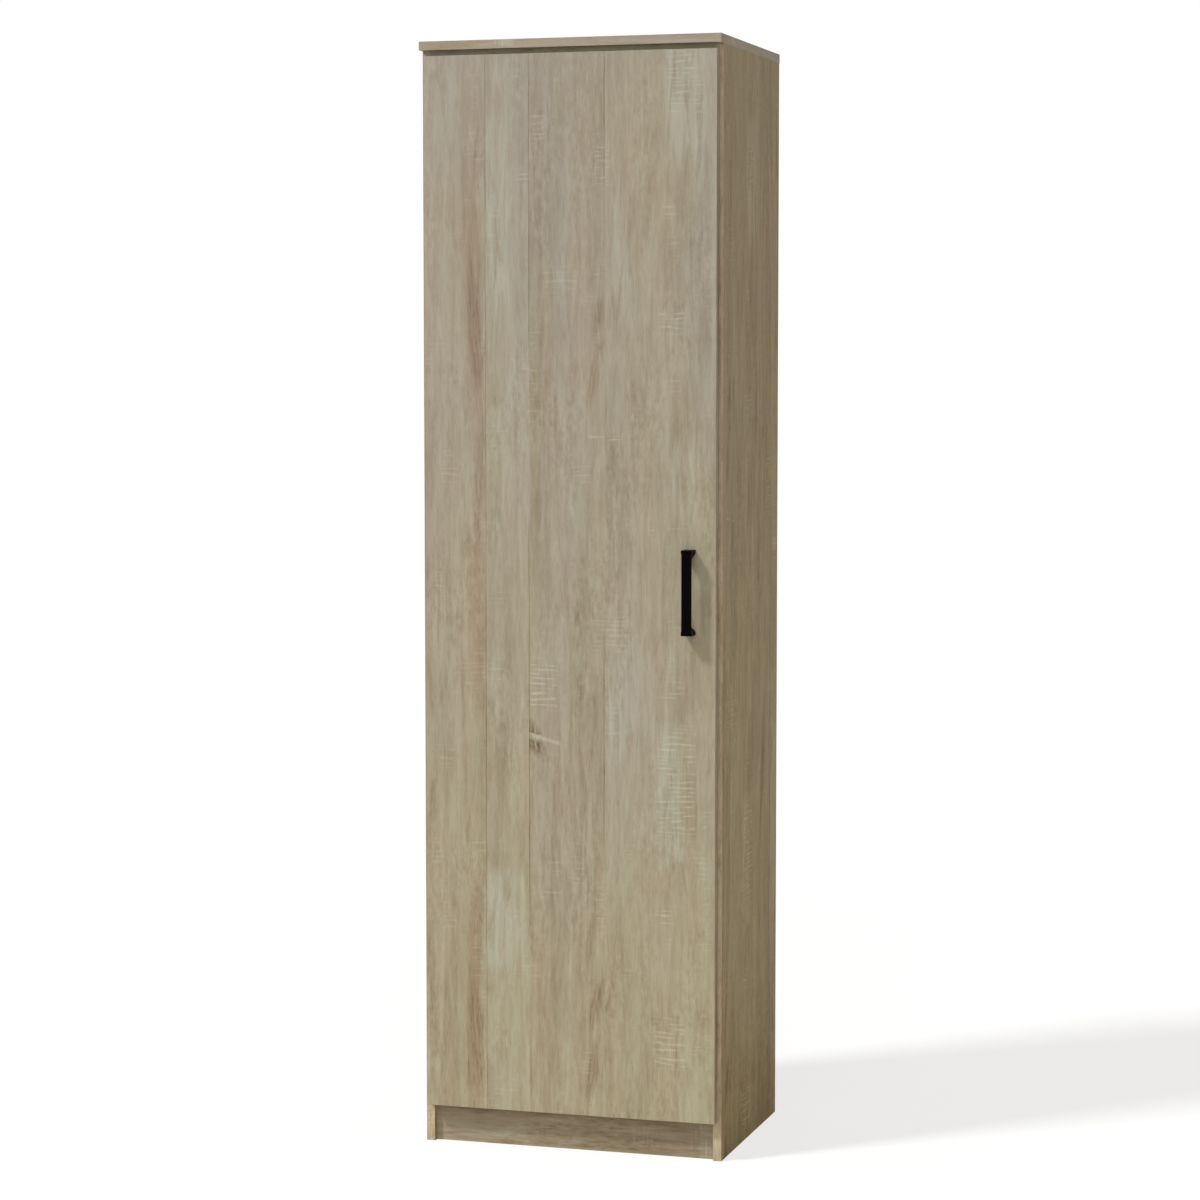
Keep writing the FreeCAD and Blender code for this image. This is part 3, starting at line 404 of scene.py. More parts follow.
def new_group(name: str, takes: dict[str, str], gives: dict[str, str]
              ) -> tuple[bpy.types.NodeTree, Bench, dict[str, Socket], bpy.types.Node]:
    """Starts a node group.

    Args:
        name: the group's name.
        takes: its inputs, each with its kind of socket.
        gives: its outputs, each with its kind of socket.

    Returns:
        The group, its bench, its input sockets by name and its output node.
    """
    tree = bpy.data.node_groups.new(name, "ShaderNodeTree")
    for labels, way in ((takes, "INPUT"), (gives, "OUTPUT")):
        for label, kind in labels.items():
            tree.interface.new_socket(label, in_out=way, socket_type="NodeSocket" + kind)
    bench = Bench(tree)
    entry = bench.node("NodeGroupInput")
    exit_node = bench.node("NodeGroupOutput")
    return tree, bench, {label: entry.outputs[label] for label in takes}, exit_node


def new_material(name: str) -> tuple[bpy.types.Material, Bench, bpy.types.Node]:
    """Starts a material with one main shader.

    Args:
        name: the material's name.

    Returns:
        The material, its bench and its main shader node.
    """
    material = bpy.data.materials.new(name)
    bench = emptied(material)
    shader = bench.node("BsdfPrincipled")
    bench.plug(bench.node("OutputMaterial").inputs[0], shader.outputs[0])
    return material, bench, shader


def stand(name: str, data: bpy.types.ID) -> bpy.types.Object:
    """Puts a mesh, lamp or lens into the scene.

    Args:
        name: the object's name.
        data: the mesh, lamp or lens.

    Returns:
        The new object.
    """
    made = bpy.data.objects.new(name, data)
    bpy.context.scene.collection.objects.link(made)
    return made


# --------------------------------------------------------------------------- decor


@dataclass(frozen=True)
class Grain:
    """One noise of the decor, by its changes per metre across and along the grain.

    tone is how much it counts in the brightness.
    """

    across: float
    along: float
    detail: float = 1.0
    rough: float = 0.5
    warp: float = 0.0
    tone: float = 0.0

    def lay(self, bench: Bench, place: Socket) -> Socket:
        """Adds the noise."""
        scale = (self.across, self.along)
        return bench.noise(place, scale, self.detail, self.rough, self.warp, flat=True)


GRAIN = {
    "broad": Grain(11.0, 1.3, 2, tone=0.13),
    "band": Grain(37.0, 2.0, 3, 0.55, 0.5, tone=0.26),
    "streak": Grain(80.0, 8.5, 3, 0.6, 0.7, tone=0.30),
    "fine": Grain(200.0, 26.0, 3, 0.62, 0.5, tone=0.22),
    "hair": Grain(640.0, 36.0, 2, 0.6, tone=0.09),
    "blotch": Grain(30.0, 14.0, 3, 0.6, tone=0.13),
    "pores": Grain(900.0, 60.0),
    "hue": Grain(27.0, 2.6, 3, 0.6, 0.5),
    "yellow": Grain(6.0, 1.2, 2, 0.5, 0.3),
    "wander": Grain(3.0, 2.6),
    "rings": Grain(6.0, 0.5, 2, 0.45),
    "ring_spots": Grain(5.0, 1.1),
    "stroke_swing": Grain(9.0, 40.0),
    "stroke_breaks": Grain(30.0, 130.0),
    "stroke_spots": Grain(17.0, 9.0, 2),
    "torn": Grain(120.0, 48.0, 2, 0.7),
    "torn_spots": Grain(12.0, 4.0),
}


@dataclass
class Spot:
    """What the decor's details read.

    across and along are metres from the sheet's corner, and grain holds the noises there.
    """

    bench: Bench
    across: Socket
    along: Socket
    grain: dict[str, Socket]


@dataclass(frozen=True)
class Stave:
    """One plank strip of the decor sheet, from its left edge on.

    shuffle tells its grain from that of the others.
    """

    start: float
    tone: float
    warmth: float
    shuffle: float


@dataclass(frozen=True)
class Patch:
    """A soft-edged patch of the decor sheet: its middle, half its size and its strength."""

    across: float
    along: float
    half_across: float
    half_along: float
    strength: float


@dataclass(frozen=True)
class Flame:
    """A flame of dark growth rings that leans across the decor sheet.

    stray and fray are how far it is bent and torn sideways, in metres.
    """

    across: float
    along: float
    half_across: float
    half_along: float
    lean: float
    strength: float
    pitch: float = 0.0034
    stray: float = 0.012
    fray: float = 0.010
    edge: Step = (1.25, 0.45)
    ring_edge: Step = (-0.6, 0.9)
    ring_share: float = 0.45

    def shows(self, spot: Spot) -> Socket:
        """Adds the flame.

        Args:
            spot: the place on the sheet.

        Returns:
            How strongly the flame shows there.
        """
        bench = spot.bench
        rise = bench.away(spot.along, self.along)
        side = bench.add(
            bench.away(spot.across, self.across), bench.times(rise, -self.lean),
            bench.scaled(spot.grain["blotch"], self.stray),
            bench.scaled(spot.grain["streak"], self.fray))
        squares = [
            bench.math("POWER", bench.math("ABSOLUTE", bench.times(way, 1 / half)), 2.0)
            for way, half in ((side, self.half_across), (rise, self.half_along))]
        reach = bench.math("SQRT", bench.math("ADD", *squares))
        rings = bench.math("SINE", bench.times(side, math.pi / self.pitch))
        return bench.times(
            bench.smooth(reach, *self.edge, 0.0, self.strength),
            bench.math("MULTIPLY_ADD", bench.smooth(rings, *self.ring_edge),
                       self.ring_share, 1 - self.ring_share))


@dataclass(frozen=True)
class Knot:
    """A knot at a stave's edge: a pale check that falls to the right, dark on both sides.

    The steps are in metres, to the right of its left edge or up from the check.
    """

    across: float = 0.1965
    along: float = 0.732
    fall: float = 0.26
    stray: float = 0.006
    check_start: Step = (-0.004, 0.004)
    check_end: Step = (0.056, 0.0448)
    check_edge: Step = (0.0054, 0.0008)
    below_end: Step = (-0.042, -0.012)
    below_start: Step = (-0.0040, -0.0110)
    above_end: Step = (0.036, 0.008)
    above_start: Step = (0.0032, 0.0056)
    above_share: float = 0.9
    lean: float = 0.45
    left_edge: Step = (-0.0065, -0.0055)
    right_edge: Step = (0.026, 0.006)
    fray: Step = (0.3, 0.6)

    def shows(self, spot: Spot) -> tuple[Socket, Socket]:
        """Adds the knot.

        Args:
            spot: the place on the sheet.

        Returns:
            How strongly its dark and its pale part show there.
        """
        bench = spot.bench
        side = bench.away(spot.across, self.across)
        rise = bench.math("MULTIPLY_ADD", side, self.fall, bench.away(spot.along, self.along))
        rise = bench.add(rise, bench.scaled(spot.grain["streak"], self.stray))
        span = bench.times(bench.smooth(side, *self.check_start),
                           bench.smooth(side, *self.check_end))
        pale = bench.times(span, bench.smooth(bench.math("ABSOLUTE", rise), *self.check_edge))
        below = bench.times(bench.smooth(rise, *self.below_end),
                            bench.smooth(rise, *self.below_start))
        above = bench.times(bench.smooth(rise, *self.above_end),
                            bench.smooth(rise, *self.above_start))
        width = bench.times(
            bench.smooth(bench.math("MULTIPLY_ADD", rise, self.lean, side), *self.right_edge),
            bench.smooth(side, *self.left_edge))
        dark = bench.times(width, bench.math(
            "MAXIMUM", below, bench.times(above, self.above_share)))
        return bench.times(dark, bench.smooth(spot.grain["fine"], *self.fray)), pale


@dataclass
class DecorSheet:
    """The printed sheet of light sawn oak that every board is cut from.

    Places and sizes are metres from the sheet's corner, across the grain and along it.
    """

    repeat: float = 0.700
    length: float = 2.150
    staves: tuple[Stave, ...] = (
        Stave(0.0, 0.54, 0.50, 0.13), Stave(0.1121, 0.56, 0.36, 0.71),
        Stave(0.1908, 0.505, 0.51, 0.37), Stave(0.3265, 0.535, 0.43, 0.91),
        Stave(0.5260, 0.48, 0.55, 0.55), Stave(0.6150, 0.54, 0.42, 0.22))
    shuffle: tuple[float, float] = (11.3, 5.1)
    saw_marks: tuple[Patch, ...] = (
        Patch(0.468, 1.850, 0.028, 0.052, 0.9), Patch(0.210, 1.782, 0.012, 0.040, 0.6),
        Patch(0.322, 1.719, 0.012, 0.046, 0.7), Patch(0.098, 1.732, 0.014, 0.012, 0.4),
        Patch(0.180, 1.696, 0.013, 0.014, 0.6), Patch(0.448, 1.637, 0.019, 0.010, 0.6),
        Patch(0.446, 1.445, 0.021, 0.018, 0.8), Patch(0.328, 1.248, 0.027, 0.006, 1.0),
        Patch(0.338, 0.918, 0.030, 0.040, 0.5), Patch(0.218, 0.823, 0.023, 0.043, 0.9),
        Patch(0.455, 0.658, 0.032, 0.092, 1.0), Patch(0.440, 0.808, 0.022, 0.012, 0.6),
        Patch(0.444, 0.206, 0.028, 0.042, 0.9), Patch(0.438, 0.427, 0.018, 0.016, 0.7),
        Patch(0.229, 0.456, 0.018, 0.008, 0.6), Patch(0.322, 0.430, 0.010, 0.040, 0.5),
        Patch(0.096, 0.532, 0.016, 0.013, 0.5), Patch(0.600, 1.300, 0.020, 0.060, 0.7),
        Patch(0.655, 1.182, 0.028, 0.018, 1.0))
    seams: tuple[Patch, ...] = (
        Patch(0.1121, 1.075, 0.0010, 1.10, 0.8), Patch(0.1908, 1.660, 0.0010, 0.27, 1.1),
        Patch(0.1908, 0.760, 0.0010, 0.33, 1.0), Patch(0.3265, 1.790, 0.0010, 0.16, 0.5),
        Patch(0.3265, 0.735, 0.0010, 0.17, 0.8), Patch(0.5260, 1.200, 0.0010, 0.60, 0.7),
        Patch(0.6150, 0.700, 0.0010, 0.50, 0.8), Patch(0.6990, 1.100, 0.0010, 0.90, 0.7))
    washes: tuple[Patch, ...] = (
        Patch(0.146, 0.404, 0.034, 0.080, 0.9), Patch(0.136, 1.620, 0.022, 0.160, 0.7),
        Patch(0.470, 1.830, 0.034, 0.110, 0.7), Patch(0.446, 0.640, 0.020, 0.120, 0.6),
        Patch(0.352, 0.780, 0.016, 0.090, 0.5), Patch(0.360, 1.560, 0.022, 0.120, 0.4),
        Patch(0.474, 0.960, 0.012, 0.060, 0.6), Patch(0.470, 1.180, 0.024, 0.070, 0.4),
        Patch(0.640, 0.700, 0.020, 0.160, 0.6), Patch(0.655, 1.190, 0.030, 0.012, 1.0))
    patch_edge: Step = (1.25, 0.7)
    patch_bend: float = 0.012
    flames: tuple[Flame, ...] = (
        Flame(0.315, 1.455, 0.008, 0.040, 0.22, 0.9),
        Flame(0.310, 1.360, 0.010, 0.062, 0.16, 1.0),
        Flame(0.311, 0.262, 0.010, 0.050, 0.18, 1.0),
        Flame(0.306, 0.150, 0.012, 0.066, 0.12, 0.9),
        Flame(0.304, 0.380, 0.009, 0.044, 0.14, 0.6),
        Flame(0.093, 1.420, 0.013, 0.150, -0.08, 0.8),
        Flame(0.100, 1.180, 0.008, 0.160, 0.04, 0.6),
        Flame(0.094, 0.200, 0.015, 0.130, -0.08, 0.8),
        Flame(0.350, 0.340, 0.012, 0.120, 0.05, 0.4),
        Flame(0.240, 0.620, 0.010, 0.160, 0.03, 0.4),
        Flame(0.560, 0.800, 0.014, 0.150, 0.12, 0.8),
        Flame(0.655, 1.600, 0.014, 0.150, 0.10, 0.8))
    knot: Knot = Knot()
    red_across: float = 0.096
    red_edge: Step = (0.0208, 0.0064)
    red_stray: float = 0.035
    red_spots: Step = (0.3, 0.6)
    ring_count: int = 13
    ring_edge: Step = (0.0, 1.0)
    ring_spots: Step = (0.45, 0.68)
    stroke_pitch: float = 0.0088
    stroke_swing: float = 11.0
    stroke_edge: Step = (0.05, 0.95)
    stroke_breaks: Step = (0.38, 0.62)
    stroke_spots: Step = (0.60, 0.72)
    stroke_scatter: float = 0.4
    torn_depth: float = 0.3
    torn_spots: Step = (0.45, 0.65)
    pore_edge: Step = (0.62, 0.74)
    wash_edge: Step = (0.25, 0.7)
    tone_shares: Shares = (
        ("figure", -0.05), ("pore", -0.08), ("flames", -0.18), ("marks", 0.17),
        ("wash", 0.16), ("red", -0.08), ("knot_dark", -0.44), ("knot_pale", 0.20),
        ("seam", -0.20))
    tone_fade: float = -0.04
    tone_middle: float = 0.75
    contrast_fade: float = -0.24
    contrast_foot: float = 1.36
    tones: Tones = (
        (0.0, (100, 86, 65)), (0.18, (127, 113, 90)), (0.36, (149, 137, 114)),
        (0.52, (164, 153, 131)), (0.70, (175, 167, 146)), (0.88, (188, 182, 162)),
        (1.0, (203, 199, 182)))
    hue_shares: Shares = (
        ("red", 0.5), ("flames", 0.3), ("wash", -0.5), ("knot_pale", 0.3), ("marks", -0.12))
    hue_drift: float = 1.2
    hue_streak: float = -0.4
    hues: tuple[tuple[float, Linear], ...] = (
        (0.0, (0.967, 1.016, 1.006, 1.0)), (0.5, (1.0, 1.0, 1.0, 1.0)),
        (1.0, (1.030, 0.974, 0.972, 1.0)))
    fades: tuple[tuple[float, Linear], ...] = (
        (0.0, (0.99, 0.985, 0.915, 1.0)), (0.5, (1.0, 1.005, 1.03, 1.0)),
        (1.0, (0.995, 1.045, 1.25, 1.0)))
    yellow_drift: float = 1.0
    mark_colour: Shade = (190, 185, 162)
    mark_cover: float = 0.15
    wash_colour: Shade = (174, 172, 158)
    wash_cover: float = 0.45
    relief_shares: Shares = (
        ("fine", 0.35), ("hair", 0.3), ("pore", -0.5), ("marks", 0.35), ("seam", -0.4))
    relief_base: float = 0.4
    gloss: float = 0.47
    gloss_fine: float = 0.12
    gloss_pore: float = 0.15
    gloss_blotch: float = 0.06
    group: Optional[bpy.types.NodeTree] = field(default=None, init=False)

    def patch_group(self) -> bpy.types.NodeTree:
        """Makes the group that masks a soft-edged patch round a point.

        Returns:
            The node group.
        """
        tree, bench, at, out = new_group(
            "sheet_patch", {"Place": "Vector", "Centre": "Vector", "Inverse": "Vector",
                            "Strength": "Float"}, {"Mask": "Float"})
        away = bench.vector("SUBTRACT", at["Place"], at["Centre"])
        share = bench.vector("MULTIPLY", away, at["Inverse"])
        first, second, _ = bench.split(bench.vector("ABSOLUTE", share))
        reach = bench.math("MAXIMUM", first, second)
        mask = bench.times(bench.smooth(reach, *self.patch_edge), at["Strength"])
        bench.plug(out.inputs["Mask"], mask)
        return tree

    def masks(self, bench: Bench, place: Socket, group: bpy.types.NodeTree,
              patches: Iterable[Patch]) -> Socket:
        """Masks several patches.

        Args:
            bench: where the nodes go.
            place: the place on the sheet.
            group: the group that masks one patch.
            patches: the patches.

        Returns:
            The strongest mask there.
        """
        total: Plug = 0.0
        for patch in patches:
            made = bench.use(
                group, Place=place, Centre=(patch.across, patch.along, 0.0),
                Inverse=(1 / patch.half_across, 1 / patch.half_along, 0.0),
                Strength=patch.strength)
            total = bench.math("MAXIMUM", total, made.outputs[0])
        return total

    def stave_stops(self) -> list[tuple[float, Linear]]:
        """Gives the stepped ramp's stops for the staves."""
        return [(stave.start / self.repeat, (stave.tone, stave.warmth, stave.shuffle, 1.0))
                for stave in self.staves]

    def strokes(self, spot: Spot) -> Socket:
        """Adds a comb of short strokes across the grain, broken here and there.

        Args:
            spot: the place on the sheet.

        Returns:
            How strongly a stroke shows there.
        """
        bench = spot.bench
        swing = bench.scaled(spot.grain["stroke_swing"], self.stroke_swing)
        comb = bench.math("SINE", bench.math(
            "MULTIPLY_ADD", spot.along, TURN / self.stroke_pitch, swing))
        return bench.times(bench.smooth(comb, *self.stroke_edge),
                           bench.smooth(spot.grain["stroke_breaks"], *self.stroke_breaks))

    def marks(self, spot: Spot, sawn: Socket) -> Socket:
        """Adds the saw marks, strong in their patches and faint in a few other spots.

        Args:
            spot: the place on the sheet.
            sawn: the mask of the patches.

        Returns:
            How strongly a saw mark shows there.
        """
        bench = spot.bench
        scatter = bench.smooth(spot.grain["stroke_spots"], *self.stroke_spots)
        return bench.times(bench.math("MULTIPLY_ADD", scatter, self.stroke_scatter, sawn),
                           self.strokes(spot))

    def figure(self, spot: Spot) -> Socket:
        """Adds spots of faint growth rings.

        Args:
            spot: the place on the sheet.

        Returns:
            How strongly a ring shows there.
        """
        bench = spot.bench
        rings = bench.math("SINE", bench.times(spot.grain["rings"], TURN * self.ring_count))
        return bench.times(bench.smooth(rings, *self.ring_edge),
                           bench.smooth(spot.grain["ring_spots"], *self.ring_spots))

    def red_line(self, spot: Spot) -> Socket:
        """Adds the broken reddish line along the left stave.

        Args:
            spot: the place on the sheet.

        Returns:
            How strongly the line shows there.
        """
        bench = spot.bench
        wander = spot.grain["wander"]
        side = bench.away(bench.add(spot.across, bench.scaled(wander, self.red_stray)),
                          self.red_across)
        return bench.times(bench.smooth(bench.math("ABSOLUTE", side), *self.red_edge),
                           bench.smooth(wander, *self.red_spots))

    def details(self, spot: Spot) -> dict[str, Socket]:
        """Adds all that lies over the plain grain.

        Args:
            spot: the place on the sheet.

        Returns:
            How strongly each detail shows there, by its name.
        """
        bench, grain = spot.bench, spot.grain
        patch = self.patch_group()
        bent = bench.point(
            bench.math("MULTIPLY_ADD", grain["band"], self.patch_bend,
                       bench.away(spot.across, self.patch_bend / 2)),
            bench.add(spot.along, bench.scaled(grain["streak"], self.patch_bend)))
        flames: Plug = 0.0
        for flame in self.flames:
            flames = bench.math("MAXIMUM", flames, flame.shows(spot))
        wash = bench.times(self.masks(bench, bent, patch, self.washes),
                           bench.smooth(grain["streak"], *self.wash_edge))
        knot_dark, knot_pale = self.knot.shows(spot)
        seam = self.masks(bench, bench.point(spot.across, spot.along), patch, self.seams)
        return {
            "figure": self.figure(spot),
            "pore": bench.smooth(grain["pores"], *self.pore_edge),
            "flames": flames,
            "marks": self.marks(spot, self.masks(bench, bent, patch, self.saw_marks)),
            "wash": wash,
            "red": self.red_line(spot),
            "knot_dark": knot_dark,
            "knot_pale": knot_pale,
            "seam": seam,
        }

    def level(self, spot: Spot, layers: dict[str, Socket], depth: Socket,
              tone: Socket) -> Socket:
        """Works out the brightness.

        Args:
            spot: the place on the sheet.
            layers: the details there.
            depth: how strong the grain is there.
            tone: the stave's own brightness.

        Returns:
            The brightness, 0 to 1.
        """
        bench, grain = spot.bench, spot.grain
        torn = bench.times(bench.scaled(grain["torn"], self.torn_depth),
                           bench.smooth(grain["torn_spots"], *self.torn_spots))
        total = bench.add(
            *[bench.scaled(grain[name], noise.tone) for name, noise in GRAIN.items()
              if noise.tone],
            torn, *bench.weighed(layers, self.tone_shares),
            bench.scaled(spot.along, self.tone_fade, self.tone_middle))
        return bench.math("MULTIPLY_ADD", total, depth, tone)

    def colour(self, spot: Spot, layers: dict[str, Socket], level: Socket, warmth: Socket,
               drift: Socket) -> Socket:
        """Works out the colour.

        Args:
            spot: the place on the sheet.
            layers: the details there.
            level: the brightness there.
            warmth: the stave's own hue.
            drift: how much of the slow change of hue shows.

        Returns:
            The colour.
        """
        bench, grain = spot.bench, spot.grain
        hue = bench.add(warmth, bench.scaled(grain["hue"], self.hue_drift),
                        bench.scaled(grain["streak"], self.hue_streak),
                        *bench.weighed(layers, self.hue_shares))
        fade = bench.math("MULTIPLY_ADD", spot.along, 1 / self.length,
                          bench.scaled(grain["yellow"], self.yellow_drift))
        colour = bench.blend(1.0, bench.ramp(level, painted(self.tones)),
                             bench.ramp(hue, self.hues), "MULTIPLY")
        colour = bench.blend(drift, colour, bench.ramp(fade, self.fades), "MULTIPLY")
        colour = bench.blend(bench.times(layers["marks"], self.mark_cover), colour,
                             paint(*self.mark_colour))
        return bench.blend(bench.times(layers["wash"], self.wash_cover), colour,
                           paint(*self.wash_colour))

    def make(self) -> None:
        """Makes the sheet's node group: a place in, colour, relief and gloss out."""
        self.group, bench, at, out = new_group(
            "decor_sheet",
            {"Across": "Float", "Along": "Float", "Contrast": "Float", "Drift": "Float"},
            {"Color": "Color", "Relief": "Float", "Gloss": "Float"})
        across = bench.math("FLOORED_MODULO", at["Across"], self.repeat)
        along = bench.math("FLOORED_MODULO", at["Along"], self.length)
        share = bench.math("DIVIDE", across, self.repeat)
        tone, warmth, shuffle = bench.split(
            bench.ramp(share, self.stave_stops(), stepped=True), "SeparateColor")
        place = bench.point(*[bench.math("MULTIPLY_ADD", shuffle, shift, at[way])
                              for shift, way in zip(self.shuffle, ("Across", "Along"))])
        grain = {name: noise.lay(bench, place) for name, noise in GRAIN.items()}
        spot = Spot(bench, across, along, grain)
        details = self.details(spot)
        depth = bench.times(at["Contrast"], bench.math(
            "MULTIPLY_ADD", along, self.contrast_fade, self.contrast_foot))
        level = self.level(spot, details, depth, tone)
        colour = self.colour(spot, details, level, warmth, at["Drift"])
        relief = bench.add(*bench.weighed({**grain, **details}, self.relief_shares),
                           self.relief_base)
        gloss = bench.add(self.gloss, bench.scaled(grain["fine"], self.gloss_fine),
                          bench.times(details["pore"], self.gloss_pore),
                          bench.scaled(grain["blotch"], self.gloss_blotch))
        for name, value in (("Color", colour), ("Relief", relief), ("Gloss", gloss)):
            bench.plug(out.inputs[name], value)


@dataclass
class ChipCore:
    """The pressed chips that show wherever a board is cut or bored."""

    chips: float = 620.0
    chip_share: float = 0.6
    flakes: float = 900.0
    flake_share: float = 0.5
    tones: Tones = ((0.15, (112, 84, 54)), (0.45, (158, 124, 84)), (0.7, (184, 152, 108)),
                    (1.0, (206, 180, 138)))
    group: Optional[bpy.types.NodeTree] = field(default=None, init=False)

    def make(self) -> None:
        """Makes the core's node group: a place in, colour and relief out."""
        self.group, bench, at, out = new_group(
            "chip_core", {"Place": "Vector"}, {"Color": "Color", "Relief": "Float"})
        chips = bench.split(bench.cells(at["Place"], self.chips), "SeparateColor")[0]
        flakes = bench.noise(at["Place"], self.flakes, detail=3, rough=0.65)
        level = bench.add(bench.times(chips, self.chip_share),
                          bench.times(flakes, self.flake_share))
        bench.plug(out.inputs["Color"], bench.ramp(level, painted(self.tones)))
        bench.plug(out.inputs["Relief"], level)


@dataclass(frozen=True)
class Board:
    """How one board is cut from the decor sheet.

    thin, grain and side are the directions of its thickness, of its grain and across it.
    raw names the faces that are left bare, and cut is where on the sheet it is taken from.
    shade and edge_shade tell how its faces and its edge bands differ from the sheet, and
    contrast and drift how strong its grain and its slow change of hue are.
    """

    node: str
    thin: Axis
    grain: Axis
    side: Axis
    cut: tuple[float, float]
    raw: tuple[Face, ...] = ()
    shade: Tint = (1.0, 1.0, 1.0)
    edge_shade: Tint = (1.0, 1.0, 1.0)
    contrast: float = 1.0
    drift: float = 1.0
    mirrored: bool = False


@dataclass
class BoardFinish:
    """Decor on the faces and edge bands, bare core where a board is cut or bored.

    skin is how deep the decor reaches. glue_start and glue_end are the steps, in from an
    edge, between which the edge band's glue line shows, and worn_and_lit_edge the step
    within which an edge is lightened: partly rubbed wear, partly a painted highlight on
    the arris.
    """

    sheet: DecorSheet
    core: ChipCore
    skin: float = 0.3 * MM
    glue_start: Step = (0.90 * MM, 0.95 * MM)
    glue_end: Step = (1.15 * MM, 1.10 * MM)
    glue_colour: Shade = (98, 84, 64)
    glue_cover: float = 0.35
    worn_and_lit_edge: Step = (1.3 * MM, 0.0)
    worn_and_lit_scale: float = 90.0
    worn_and_lit_rough: float = 0.6
    worn_and_lit_spots: Step = (0.4, 0.7)
    worn_and_lit_colour: Shade = (196, 184, 160)
    worn_and_lit_cover: float = 0.25
    worn_and_lit_gloss: float = -0.08
    core_rough: float = 0.9
    relief: float = 0.12 * MM
    strength: float = 0.55
    specular: float = 0.22

    def depths(self, bench: Bench, place: Sequence[Socket], node: str
               ) -> tuple[Socket, Socket]:
        """Works out how deep a point lies in a board.

        Args:
            bench: where the nodes go.
            place: the point's three values.
            node: the board.

        Returns:
            How far it is from the nearest face, and from the face next to that.
        """
        low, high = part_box(node)
        depths = [bench.math("MINIMUM", bench.away(place[axis], low[axis]),
                             bench.away(high[axis], place[axis])) for axis in range(3)]
        least = bench.math("MINIMUM", bench.math("MINIMUM", depths[0], depths[1]), depths[2])
        most = bench.math("MAXIMUM", bench.math("MAXIMUM", depths[0], depths[1]), depths[2])
        return least, bench.away(bench.add(*depths), bench.add(least, most))

    def material(self, board: Board) -> bpy.types.Material:
        """Makes a board's material.

        Args:
            board: how the board is cut from the sheet.

        Returns:
            The finished material.
        """
        material, bench, shader = new_material("oak_" + board.node)
        where = bench.node("TexCoord")
        spot = where.outputs["Object"]
        place = bench.split(spot)
        facing = bench.split(where.outputs["Normal"])
        flat = [bench.math("GREATER_THAN", bench.math("ABSOLUTE", part), FACING)
                for part in facing]
        thin, grain, side = board.thin.value, board.grain.value, board.side.value
        across = bench.choose(flat[thin], place[thin], place[side])
        along = bench.choose(flat[grain], place[grain], place[side])
        if board.mirrored:
            across = bench.times(across, -1.0)
        sheet = bench.use(self.sheet.group, Across=bench.add(across, board.cut[0]),
                          Along=bench.add(along, board.cut[1]), Contrast=board.contrast,
                          Drift=board.drift).outputs

        least, edge = self.depths(bench, place, board.node)
        bare: Plug = bench.math("GREATER_THAN", least, self.skin)
        for face in board.raw:
            axis, sign = face.value
            bare = bench.math("MAXIMUM", bare, bench.math(
                "GREATER_THAN", bench.times(facing[axis], float(sign)), FACING))
        core = bench.use(self.core.group, Place=spot).outputs

        # Lightened spots along the edges: partly rubbed wear, partly a painted highlight on the
        # arris.
        edge_wear_and_highlight = bench.times(
            bench.smooth(edge, *self.worn_and_lit_edge),
            bench.smooth(bench.noise(spot, self.worn_and_lit_scale, rough=self.worn_and_lit_rough),
                         *self.worn_and_lit_spots))
        glue = bench.times(bench.smooth(edge, *self.glue_start),
                           bench.smooth(edge, *self.glue_end))
        shade = bench.blend(flat[thin], (*board.edge_shade, 1.0), (*board.shade, 1.0))
        decor = bench.blend(1.0, sheet["Color"], shade, "MULTIPLY")
        decor = bench.blend(bench.times(edge_wear_and_highlight, self.worn_and_lit_cover), decor,
                            paint(*self.worn_and_lit_colour))
        decor = bench.blend(bench.times(glue, self.glue_cover), decor,
                            paint(*self.glue_colour))
        gloss = bench.add(sheet["Gloss"], bench.times(edge_wear_and_highlight, self.worn_and_lit_gloss))
        relief = bench.choose(bare, sheet["Relief"], core["Relief"])
        bench.surface(shader, bench.blend(bare, decor, core["Color"]),
                      bench.choose(bare, gloss, self.core_rough),
                      bench.bump(relief, self.relief, self.strength))
        shader.inputs["Specular IOR Level"].default_value = self.specular
        return material


# --------------------------------------------------------------------- small finishes


@dataclass(frozen=True)
class PowderCoat:
    """Matt black powder coat with a fine orange-peel skin.

    peel, grit and rub are the scales of its three noises, and what follows them is how
    much they count in its shade, gloss and relief.
    """

    tones: Tones = ((0.2, (2, 1, 1)), (0.9, (9, 7, 6)))
    peel: float = 1500.0
    peel_shade: float = 0.5
    peel_gloss: float = 0.12
    grit: float = 5200.0
    grit_relief: float = 0.35
    rub: float = 60.0
    rub_shade: float = 0.5
    rub_middle: float = 0.3
    rub_gloss: float = 0.22
    rough: float = 0.42
    relief: float = 0.05 * MM
    strength: float = 0.5
    specular: float = 0.035

    def material(self, name: str) -> bpy.types.Material:
        """Makes the material.

        Args:
            name: its name.

        Returns:
            The finished material.
        """
        material, bench, shader = new_material(name)
        where = bench.node("TexCoord").outputs["Object"]
        peel = bench.noise(where, self.peel)
        grit = bench.noise(where, self.grit, detail=1)
        rub = bench.noise(where, self.rub, detail=3, rough=0.6)
        shade = bench.add(bench.times(peel, self.peel_shade),
                          bench.scaled(rub, self.rub_shade, self.rub_middle))
        rough = bench.add(self.rough, bench.scaled(rub, self.rub_gloss),
                          bench.scaled(peel, self.peel_gloss))
        relief = bench.add(peel, bench.times(grit, self.grit_relief))
        bench.surface(shader, bench.ramp(shade, painted(self.tones)), rough,
                      bench.bump(relief, self.relief, self.strength))
        shader.inputs["Specular IOR Level"].default_value = self.specular
        return material


